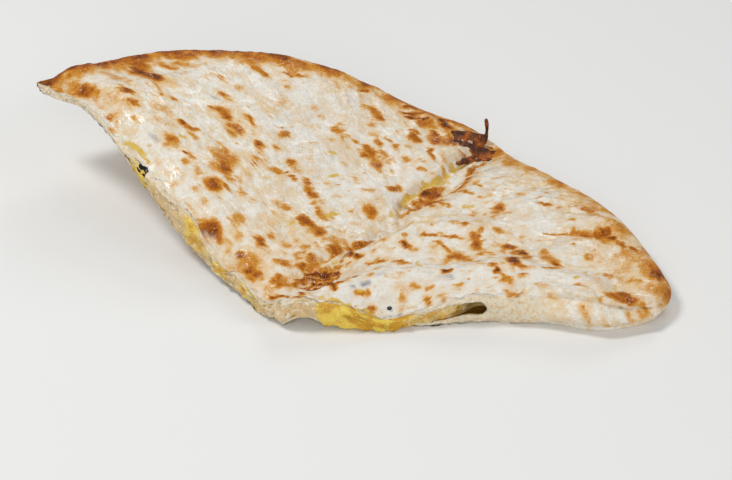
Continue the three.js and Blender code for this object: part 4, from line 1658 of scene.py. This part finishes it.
@dataclass
class Bread:
    """The bread: crust, crumb and the pocket that the filling lies in."""

    relief: Relief
    marked: MarkedCrust
    block: Block = Block(256, 150, 10)
    pocket_rows: Place = (0.4, 0.6)
    mouth: Place = (-0.62, 0.56)
    mouth_blend: float = 0.03
    pinch: float = 0.03
    pinch_depth: float = 4.0
    pinch_most: float = 0.96
    pocket_end: float = 0.9
    pocket_steps: int = 16
    pocket_ease: float = 1.8
    widening: tuple[int, int] = (4, 7)
    gap: float = 0.03
    rim_bulge: float = 1.4
    torn: float = 0.55
    wave_sizes: Place = (4.1, 7.3)
    wave_lean: Place = (5.0, -3.0)
    ragged: float = 1.7
    ragged_reach: float = 3.0
    bites: tuple[Grain, Grain] = (Grain(1.0, 5.0, 4.0), Grain(0.6, 1.9, 14.0))
    bites_lean: Place = (40.0, -30.0)
    bite_share: float = 0.4
    bite_most: float = 1.4
    crumbs: Grain = Grain(0.63, 2.6, 5.0)
    crumbs_lean: Place = (9.0, 31.0)
    lumps: tuple[Grain, Grain] = (Grain(0.8, 11.0, 1.0), Grain(0.4, 3.6, 2.0))
    wrinkles: Grain = Grain(0.35, 3.4, 3.0, 2)
    wrinkle_length: float = 4.0
    wrinkle_blend: float = 16.0
    blister_rise: float = 0.4
    lobe_blend: float = 14.0
    roll: Ramp = Ramp(92.0, 16.0)
    roll_in: float = 3.6
    roll_in_reach: float = 5.0
    roll_down_reach: float = 5.5
    roll_under: float = 2.2
    roll_under_reach: float = 4.0
    wall_patches: Grain = Grain(0.6, 4.0, 15.0)
    wall_lean: Place = (6.0, -6.0)
    wall_fade: Ramp = Ramp(0.0625, 0.625)
    skin: float = 0.12
    # Depth of the dark line at the foot of the cuts, partly painted shade
    low_browning_and_shade: float = 0.75
    cheese_rows: float = 0.16
    cheese_stain: float = 0.3
    pocket_stain_and_shade: float = 1.3
    end_streaks: Grain = Grain(0.4, 5.0, 8.0)
    end_lean: Place = (5.0, 2.0)
    end_browning: Place = (0.12, 0.36)
    corner_out: Ramp = Ramp(0.9, 0.1)
    corner_up: Ramp = Ramp(0.2, 0.5)

    def _hollow(self, bm: bmesh.types.BMesh) -> None:
        """Sinks the pocket into the cut face, step by step.

        Args:
            bm: The bmesh of the bread, still a box.
        """
        low, high = self.pocket_rows
        front = []
        for face in bm.faces:
            middle = face.calc_center_median()
            inside = low < middle.z < high and self.mouth[0] < spread(middle.x) < self.mouth[1]
            if middle.y < TINY and inside:
                front.append(face)
        depth = 0.0
        for number in range(1, self.pocket_steps + 1):
            share = number / self.pocket_steps
            step = self.relief.cheese_reach * share**self.pocket_ease - depth
            depth += step
            sunk = bmesh.ops.extrude_face_region(bm, geom=front)
            bmesh.ops.delete(bm, geom=front, context="FACES_ONLY")
            front = kept(sunk["geom"], bmesh.types.BMFace)
            deeper = kept(sunk["geom"], bmesh.types.BMVert)
            bmesh.ops.translate(bm, verts=deeper, vec=(0, step, 0))
            first, last = self.widening
            if first <= number <= last:
                self._widen(deeper, 1 / (last + 1 - number))

    def _widen(self, verts: Sequence[bmesh.types.BMVert], part: float) -> None:
        """Spreads the pocket behind its mouth.

        Args:
            verts: Vertices of the pocket's end.
            part: Part that is taken of what is left to its full width.
        """
        low = min(vert.co.x for vert in verts)
        high = max(vert.co.x for vert in verts)
        for vert in verts:
            share = (vert.co.x - low) / (high - low)
            wide = self.pocket_end * (2 * share - 1)
            vert.co.x += part * (wide - vert.co.x)

    def _fine_relief(self, q: PlanPoints, toast: Array) -> Array:
        """Small lumps, wrinkles and lines of the top crust, and the rise of its bubbles.

        Args:
            q: Plan places.
            toast: Browning there.

        Returns:
            The height that they add.
        """
        turn = radians(self.relief.plan.left_cut)
        _, left = self.relief.plan.crease_frame(q.x, q.y)
        on_left = ease(0.5 + left / self.wrinkle_blend)
        cosine, sine = on_left * cos(turn) + 1 - on_left, on_left * sin(turn)
        along, beside = q.x * cosine + q.y * sine, q.y * cosine - q.x * sine
        fine = self.wrinkles.over(along / self.wrinkle_length, beside)
        fine = fine + sum(grain.over(q.x, q.y) for grain in self.lumps)
        fallen = self.roll_in * self._rolled(q) * bell(q.v * q.reach / self.roll_down_reach)
        return fine + self.blister_rise * toast + self.marked.lines(q) - fallen

    def _rolled(self, q: PlanPoints) -> Array:
        """Share by which the right cut turns into the smooth, rolled end of the rim."""
        return self.roll.over(q.x) * (q.u > 0)

    def _heights(self, q: PlanPoints, w: Array, extra: Array) -> Array:
        """Height of each vertex, by its row between the two faces.

        Args:
            q: Plan places.
            w: Rows, from 0 at the bottom to 1 at the top.
            extra: Fine relief of the top crust.

        Returns:
            The heights.
        """
        under, upper = self.relief.faces(q, extra)
        middle, half = self.relief.filling(q, under, upper)
        half = half * (1 - self._pinched(q))
        near_edge = bell(q.v * q.reach / self.roll_under_reach)
        under = under + self.roll_under * self._rolled(q) * near_edge
        low, high = self.pocket_rows
        rising = under + (middle - half - self.gap - under) * w / low
        inside = middle + (half + self.gap) * (2 * (w - low) / (high - low) - 1)
        top = middle + half + self.gap
        roofing = top + (upper - top) * (w - high) / (1 - high)
        shaped = np.where(w <= low, rising, np.where(w >= high, roofing, inside))
        plain = under + (upper - under) * w
        return shaped + self._closed(q) * (plain - shaped)

    def _closed(self, q: PlanPoints) -> Array:
        """Share by which the cut's rows stand evenly, past the ends of the pocket's mouth."""
        past = np.maximum(q.u - self.mouth[1], self.mouth[0] - q.u)
        return np.where(q.v < TINY, ease(past / self.mouth_blend), 0.0)

    def _pinched(self, q: PlanPoints) -> Array:
        """Share by which the pocket narrows to a slit near the ends of its mouth.

        Args:
            q: Plan places.

        Returns:
            The share, with a round end to the mouth.
        """
        past = np.maximum(q.u - self.mouth[1], self.mouth[0] - q.u) / self.pinch
        round_end = 1 - np.sqrt(1 - np.clip(1 + past, 0, 1) ** 2)
        return self.pinch_most * round_end * bell(q.v * q.reach / self.pinch_depth)

    def _shifts(self, q: PlanPoints, w: Array) -> tuple[Array, Array]:
        """Sideways moves: the rim's bulge and the ragged, torn face of the cuts.

        Args:
            q: Plan places.
            w: Rows, from 0 to 1.

        Returns:
            How far each vertex moves along X and along Y.
        """
        turn = np.radians(q.theta)
        bulge = np.where(q.share > 1 - TINY, self.rim_bulge * np.sin(np.pi * w), 0.0)
        (short, long), (first, second) = self.wave_sizes, self.wave_lean
        waves = np.sin(q.x / short + first * w) * np.sin(q.x / long + second * w + q.u)
        at_cut = np.where(q.v < TINY, np.minimum(1, q.to_rim / self.relief.rim_roll), 0.0)
        torn = self.torn * (waves + np.sin(np.pi * w)) * at_cut
        edge, rolled = np.abs(2 * w - 1) ** 3, self._rolled(q)
        large, small = self.bites
        bites = large.over(*leaning(q, w, self.bites_lean)) + small.over(q.x, q.y)
        bites = np.clip(self.bite_share + bites, 0, self.bite_most)
        near_cut = bell(q.v * q.reach / self.ragged_reach)
        torn -= self.ragged * edge * bites * near_cut * (1 - rolled)
        crumbs = self.crumbs.over(*leaning(q, w, self.crumbs_lean))
        torn += np.where(q.v < TINY, crumbs * (1 - edge) * (1 - rolled), 0.0)
        near_edge = bell(q.v * q.reach / self.roll_in_reach)
        torn -= self.roll_in * rolled * (2 * w - 1) ** 2 * near_edge
        out_x, out_y = self.relief.plan.cut_normal(q.u)
        return bulge * np.cos(turn) + torn * out_x, bulge * np.sin(turn) + torn * out_y

    def _toasted(self, q: PlanPoints, w: Array, top: Array) -> Array:
        """Browning of every vertex, from the top crust's down the walls to the underside's, with a
        dark line at the foot of the cuts that is partly browned skin and partly painted shade.

        Args:
            q: Plan places.
            w: Rows, from 0 to 1.
            top: Browning of the top crust.

        Returns:
            The browning, from 0 to 1.
        """
        patches = self.wall_patches.over(*leaning(q, w, self.wall_lean))
        uneven = np.where(w < 1, 1 + patches * (q.share > 1 - TINY), 1.0)
        down = self.wall_fade.over(w) * uneven
        under = self.marked.under_toast(q)
        toast = np.clip(top * down + under * (1 - down), 0, 1)
        (along, up), (least, most) = self.end_lean, self.end_browning
        streaks = self.end_streaks.over(q.x + along * w, up * w)
        streaked = np.clip(least + streaks, 0, most) * self._rolled(q)
        # Dark line at the foot of the cuts: partly the browned underside, partly painted shade
        # under the bread
        low_skin_and_shade = self.low_browning_and_shade * np.clip(1 - w / self.skin, 0, 1) * (1 - self._rolled(q))
        by_corner = toast * self.corner_out.over(q.share) * self.corner_up.over(w)
        cut = np.maximum(np.maximum(streaked, low_skin_and_shade), by_corner)
        return np.where(self._inner(q, w), cut, toast)

    def _inner(self, q: PlanPoints, w: Array) -> Array:
        """Tells which vertices lie in the cuts or the pocket."""
        return (w > TINY) & (w < 1 - TINY) & (q.share < 1 - TINY)

    def _shades(self, q: PlanPoints, w: Array, top: Array) -> dict[str, Array]:
        """Works out what the finish reads at each vertex.

        Args:
            q: Plan places.
            w: Rows, from 0 to 1.
            top: Browning of the top crust.

        Returns:
            Arrays by attribute name.
        """
        inner, on_top = self._inner(q, w), w > 1 - TINY
        skin = np.clip(1 - np.minimum(w, 1 - w) / self.skin, 0, 1)
        cheesy = np.clip(1 - np.abs(w - 0.5) / self.cheese_rows, 0, 1) * self.cheese_stain
        at_mouth = (q.u > self.mouth[0]) & (q.u < self.mouth[1])
        # Pocket walls get a tint past 1, which the finish paints dark: cheese stain and painted
        # shade of the hole
        cheesy = np.where(q.v > TINY, self.pocket_stain_and_shade, cheesy * at_mouth)
        crumb, tint, bluish = (
            self.marked.shown(q, rows) * on_top
            for rows in (CRUMB_MARKS, CHEESE_MARKS, BLUE_MARKS)
        )
        _, left = self.relief.plan.crease_frame(q.x, q.y)
        return {
            "toast": self._toasted(q, w, top),
            "crumb": np.where(inner, (1 - skin) * (1 - self._rolled(q)), crumb),
            "tint": np.where(inner, cheesy, tint),
            "bluish": bluish,
            # Pale patches, partly painted light
            "pale_and_lit": self.marked.soft(q, PALE_AND_LIT_MARKS) * on_top,
            "charred": self.marked.shown(q, CHAR_MARKS),
            "lobe": ease(0.5 + left / self.lobe_blend),
        }

    def build(self) -> bpy.types.Object:
        """Builds the bread and dresses it.

        Returns:
            The piece.
        """
        bm = self.block.start()
        self._hollow(bm)
        u, v, w = grid_places(bm)
        q = self.relief.plan.points(spread(u), spread(v))
        top = self.marked.toast(q)
        z = self._heights(q, w, self._fine_relief(q, top))
        shift_x, shift_y = self._shifts(q, w)
        settle(bm, self.relief.plan, q.x + shift_x, q.y + shift_y, z)
        made = to_object(bm, "bread_body")
        with_attributes(made, self._shades(q, w, top))
        return dress(made, CrustFinish(), Slot.BREAD, "bread")


@dataclass
class Filling:
    """The cheese layer, which shows in the cuts."""

    relief: Relief
    block: Block = Block(300, 26, 8)
    front_ease: float = 1.7
    lumps: Grain = Grain(1.5, 3.6, 6.0)
    lumps_lean: Place = (9.0, 21.0)
    rounding: float = 0.2
    flare: float = 1.7
    flare_depth: float = 2.4
    flare_below: float = 0.7
    flare_share: float = 0.75
    flare_limits: Place = (0.1, 1.6)
    flare_grain: Grain = Grain(0.9, 5.0, 9.0)
    flare_grows: Ramp = Ramp(8.0, 8.0, 0.7)
    flare_ends: Ramp = Ramp(38.0, 10.0, 1.2)
    crust_left: float = 0.3
    oozes: tuple[Swell, ...] = (Swell(20, 12, 0.8), Swell(38, 12, 2.2))
    ooze_ends: Ramp = Ramp(44.0, 8.0, 0.7)
    left_ooze: tuple[float, float, float] = (0.9, 0.5, 21.0)
    dough_near: Ramp = Ramp(9.0, 8.0, 0.95)
    dough_far: Ramp = Ramp(42.0, 8.0, 0.6)
    dough_grain: Grain = Grain(0.8, 12.0, 7.0, 2)
    dough_left: float = 0.55
    dough_least: float = 0.1
    dough_reach: float = 26.0

    def _ooze(self, q: PlanPoints) -> Array:
        """How far the cheese stands out of the cut.

        Args:
            q: Plan places.

        Returns:
            The distance in millimetres.
        """
        even, uneven, turns = self.left_ooze
        left = even + uneven * np.sin(q.share * turns)
        ending = self.ooze_ends.high - self.ooze_ends.over(q.x)
        right = ending + sum(ooze.over(q.x) for ooze in self.oozes)
        share = self.relief.plan.by_right(q.u)
        return left * (1 - share) + right * share

    def _flare(self, q: PlanPoints, shut: Array) -> Array:
        """How far the cheese spreads over the crumb in front of the pocket.

        Args:
            q: Plan places.
            shut: Share by which the pocket's mouth is closed.

        Returns:
            The distance in millimetres.
        """
        ragged = np.clip(self.flare_share + self.flare_grain.over(q.x, q.y), *self.flare_limits)
        on_right = 1 + self.flare_grows.over(q.x) - self.flare_ends.over(q.x)
        return self.flare * ragged * (1 - shut) * np.where(q.u < 0, 1.0, on_right)

    def _doughy(self, q: PlanPoints) -> Array:
        """How far the cheese is mixed with dough: at the tip, in the thin part and on the left.

        Args:
            q: Plan places.

        Returns:
            The share of dough.
        """
        near, far = self.dough_near, self.dough_far
        on_right = np.maximum(near.high - near.over(q.x), far.over(q.x))
        on_left = np.clip(self.dough_left + self.dough_grain.over(q.x, q.y), self.dough_least, 1.0)
        by_tip = near.high * (1 - ease(np.hypot(q.x, q.y) / self.dough_reach))
        return np.where(q.u < 0, np.maximum(on_left, by_tip), on_right)

    def build(self) -> bpy.types.Object:
        """Builds the filling and dresses it.

        Returns:
            The piece.
        """
        bm = self.block.start()
        u, v, w = grid_places(bm)
        u, v = spread(u), v**self.front_ease
        reach, plan = self.relief.cheese_reach, self.relief.plan
        shut = self.relief.shut(u)
        inset = self.relief.shut_depth * shut + self.relief.recess.over(u)
        q = plan.points(u * reach, (inset + (1 - inset) * v) * reach)
        under, upper = self.relief.faces(q)
        middle, half = self.relief.filling(q, under, upper)
        flare = self._flare(q, shut) * bell(v * reach * q.reach / self.flare_depth)
        above = np.clip(upper - middle - half - self.crust_left, 0, flare)
        below = np.clip(middle - half - under - self.crust_left, 0, self.flare_below * flare)
        rounded = self.rounding * half * np.abs(2 * w - 1) ** 3
        past = self._ooze(q) + self.lumps.over(*leaning(q, w, self.lumps_lean)) - rounded
        past = past * (1 - shut) * (v < TINY)
        out_x, out_y = plan.cut_normal(u)
        z = middle + (2 * w - 1) * (half + np.where(w > 0.5, above, below))
        settle(bm, plan, q.x + past * out_x, q.y + past * out_y, z)
        made = to_object(bm, "melted_cheese")
        with_attributes(made, {"doughy": self._doughy(q)})
        return dress(made, CheeseFinish(), Slot.CHEESE, "cheese_filling")


# Threads of burnt cheese: start and end pixel, thickness, height of both ends over the crust
THREADS = (
    (453, 133, 468, 134, 2., .4, .7), (453, 137, 469, 138, 2., .3, .5),
    (454, 142, 469, 144, 2.2, .3, .5), (456, 146, 472, 149, 2.2, .3, .4),
    (461, 151, 476, 153, 2.2, .3, .4), (456, 133, 462, 149, 1.8, .4, .4),
    (464, 133, 469, 151, 1.8, .5, .4), (459, 131, 455, 144, 1.4, .8, .6),
    (466, 136, 460, 152, 1.5, .9, .7), (454, 132, 463, 132, 1.6, .8, 1.4),
    (463, 132, 474, 134, 1.8, 1.4, 2.), (474, 134, 484, 135, 1.8, 2., 2.),
    (475, 136, 475, 149, 2.4, 1.8, .6), (479, 136, 479, 149, 2.6, 1.8, .5),
    (483, 136, 481, 148, 2., 1.8, .5), (470, 149, 490, 157, 2.4, .4, .3),
    (474, 152, 493, 152, 2., .4, .3), (476, 148, 488, 150, 2.2, .4, .4),
    (478, 156, 491, 159, 1.6, .3, .2), (472, 151, 486, 157, 2.2, .4, .3),
    (488, 154, 496, 151, 1., .3, .2), (459, 163, 476, 155, 2., .1, .2),
    (463, 160, 480, 154, 1.8, .2, .3), (466, 163, 482, 158, 1.5, .1, .2),
    (457, 140, 466, 146, 1.2, 1., 1.), (458, 147, 473, 144, 1.2, .8, 1.),
    (486, 146, 493, 148, 1., .3, .2),
)


@dataclass
class BurntCheese:
    """Cheese that ran out at the rim end of the crease and burnt to a dark lace."""

    relief: Relief
    lookout: Lookout
    step: float = 0.45
    waver: float = 0.6
    waver_size: float = 3.0
    waver_up: float = 0.6
    waver_seed: int = 1796079997
    knobs: float = 0.35
    knob_sheet: float = 9.0
    strand_foot: Place = (484.5, 142.5)
    strand_height: float = 11.0
    strand_radius: float = 0.95
    strand_taper: float = 0.15
    strand_knobs: tuple[float, float] = (0.16, 9.0)
    strand_lean: tuple[float, float] = (0.9, 2.6)
    voxel: float = 0.36

    def _lump(self, bm: bmesh.types.BMesh, at: Vector, radius: float) -> None:
        """Adds one round lump. Its place and radius are in millimetres."""
        matrix = Matrix.Translation(at * MM)
        bmesh.ops.create_icosphere(bm, subdivisions=2, radius=radius * MM, matrix=matrix)

    def _thread(self, bm: bmesh.types.BMesh, row: Sequence[float], number: int) -> None:
        """Lays one wavering thread of lumps over the crust.

        Args:
            bm: The bmesh that is added to.
            row: Its pixels, thickness and heights.
            number: Its place in the list, which sets how it wavers.
        """
        x0, y0, x1, y1, thick, rise0, rise1 = row
        start = Vector(self.lookout.found(x0, y0, rise0))
        end = Vector(self.lookout.found(x1, y1, rise1))
        steps = max(2, int((end - start).length / self.step))
        for count in range(steps + 1):
            share = count / steps
            at = start.lerp(end, share)
            spot = Vector((at.x / self.waver_size, at.y / self.waver_size, float(number)))
            bent = noise.noise_vector(spot) * self.waver
            lump = self.relief.crust_at(at.x + bent.x, at.y + bent.y)
            lump.z += rise0 + (rise1 - rise0) * share + self.waver_up * bent.z
            size = 1 + self.knobs * noise.noise(Vector((at.x, at.y, self.knob_sheet)))
            self._lump(bm, lump, thick / 2 * size)

    def _strand(self, bm: bmesh.types.BMesh) -> None:
        """Stands up one thin drip, which leans a little.

        Args:
            bm: The bmesh that is added to.
        """
        foot = self.relief.crust_at(*self.lookout.found(*self.strand_foot))
        (lean, bend), (knobs, count_turns) = self.strand_lean, self.strand_knobs
        steps = int(self.strand_height / self.step)
        for count in range(steps + 1):
            share = count / steps
            radius = self.strand_radius * (1 - self.strand_taper * share)
            radius *= 1 + knobs * sin(count_turns * share)
            moved = Vector((lean * sin(bend * share), 0, self.strand_height * share))
            self._lump(bm, foot + moved, radius)

    def build(self) -> bpy.types.Object:
        """Builds the burnt cheese and dresses it.

        Returns:
            The piece.
        """
        noise.seed_set(self.waver_seed)
        bm = bmesh.new()
        for number, row in enumerate(THREADS):
            self._thread(bm, row, number)
        self._strand(bm)
        made = to_object(bm, "burnt_lace")
        fused(made, self.voxel)
        return dress(made, BurntFinish(), Slot.BURNT, "burnt_cheese")


def fused(made: bpy.types.Object, voxel: float) -> None:
    """Melts a piece's overlapping lumps into one smooth skin.

    Args:
        made: The piece, whose mesh is replaced.
        voxel: Cell size in millimetres.
    """
    remesh = made.modifiers.new("melt", "REMESH")
    remesh.mode = "VOXEL"
    remesh.voxel_size = voxel * MM
    remesh.use_smooth_shade = True
    smooth = made.modifiers.new("soften", "SMOOTH")
    smooth.factor = 0.5
    smooth.iterations = 3
    bpy.context.view_layer.update()
    evaluated = made.evaluated_get(bpy.context.evaluated_depsgraph_get())
    shaped = bpy.data.meshes.new_from_object(evaluated)
    made.modifiers.clear()
    made.data = shaped


@dataclass
class OnionSeed:
    """One black onion seed, baked onto the crust near the right cut."""

    relief: Relief
    place: Place = (40.4, 1.5)
    radius: float = 1.0
    shape: tuple[float, float, float] = (1.0, 0.75, 0.75)
    bedded: float = 0.35

    def build(self) -> bpy.types.Object:
        """Builds the seed and dresses it.

        Returns:
            The piece.
        """
        place = self.relief.crust_at(*self.place)
        place.z += self.bedded * self.radius
        matrix = Matrix.LocRotScale(place * MM, None, Vector(self.shape))
        bm = bmesh.new()
        bmesh.ops.create_icosphere(bm, subdivisions=3, radius=self.radius * MM, matrix=matrix)
        return dress(to_object(bm, "onion_seed"), SeedFinish(), None)


@dataclass(frozen=True)
class SoftLight:
    """A square studio light. Places and size in metres, power in watts."""

    name: str
    place: tuple[float, float, float]
    size: float
    power: float

    def hang(self, target: Vector) -> None:
        """Adds the light, turned to a target.

        Args:
            target: Place that it faces.
        """
        data = bpy.data.lights.new(self.name, "AREA")
        data.size = self.size
        data.energy = self.power
        made = bpy.data.objects.new(self.name, data)
        turned = (target - Vector(self.place)).to_track_quat("-Z", "Y")
        made.matrix_world = Matrix.LocRotScale(Vector(self.place), turned, None)
        bpy.context.scene.collection.objects.link(made)


@dataclass
class Studio:
    """Pale floor, soft light and the camera."""

    sight: Sight
    floor_size: float = 6.0
    sky: float = 0.29
    lights: tuple[SoftLight, ...] = (
        SoftLight("key", (-0.6, 0.1, 1.0), 0.3, 6.2),
        SoftLight("back", (0.45, 1.1, 0.85), 0.5, 3.4),
        SoftLight("front", (-0.1, -1.2, 0.6), 0.8, 6.4),
        SoftLight("right", (0.9, -0.5, 0.6), 0.6, 2.4),
    )

    def build(self) -> None:
        """Builds the studio."""
        bm = bmesh.new()
        bmesh.ops.create_grid(bm, x_segments=1, y_segments=1, size=self.floor_size / 2)
        floor = to_object(bm, "floor")
        floor.data.materials.append(FloorFinish().material())
        world = bpy.data.worlds.new("studio")
        world.use_nodes = True
        background = world.node_tree.nodes["Background"]
        background.inputs["Color"].default_value = (1.0, 1.0, 1.0, 1.0)
        background.inputs["Strength"].default_value = self.sky
        bpy.context.scene.world = world
        bpy.context.scene.view_settings.view_transform = "Standard"
        for light in self.lights:
            light.hang(Vector((0, 0, 0)))
        self.sight.camera()


def main() -> None:
    """Builds the naan and the studio."""
    logging.basicConfig(level=logging.INFO, format="%(name)s: %(message)s")
    relief, sight = Relief(), Sight()
    lookout = Lookout(relief, sight)
    bread = Bread(relief, MarkedCrust(relief.plan, lookout))
    for part in (bread, Filling(relief), BurntCheese(relief, lookout), OnionSeed(relief)):
        piece = part.build()
        LOG.info("%s: %d faces", piece.name, len(piece.data.polygons))
    Studio(sight).build()


if __name__ == "__main__":
    main()
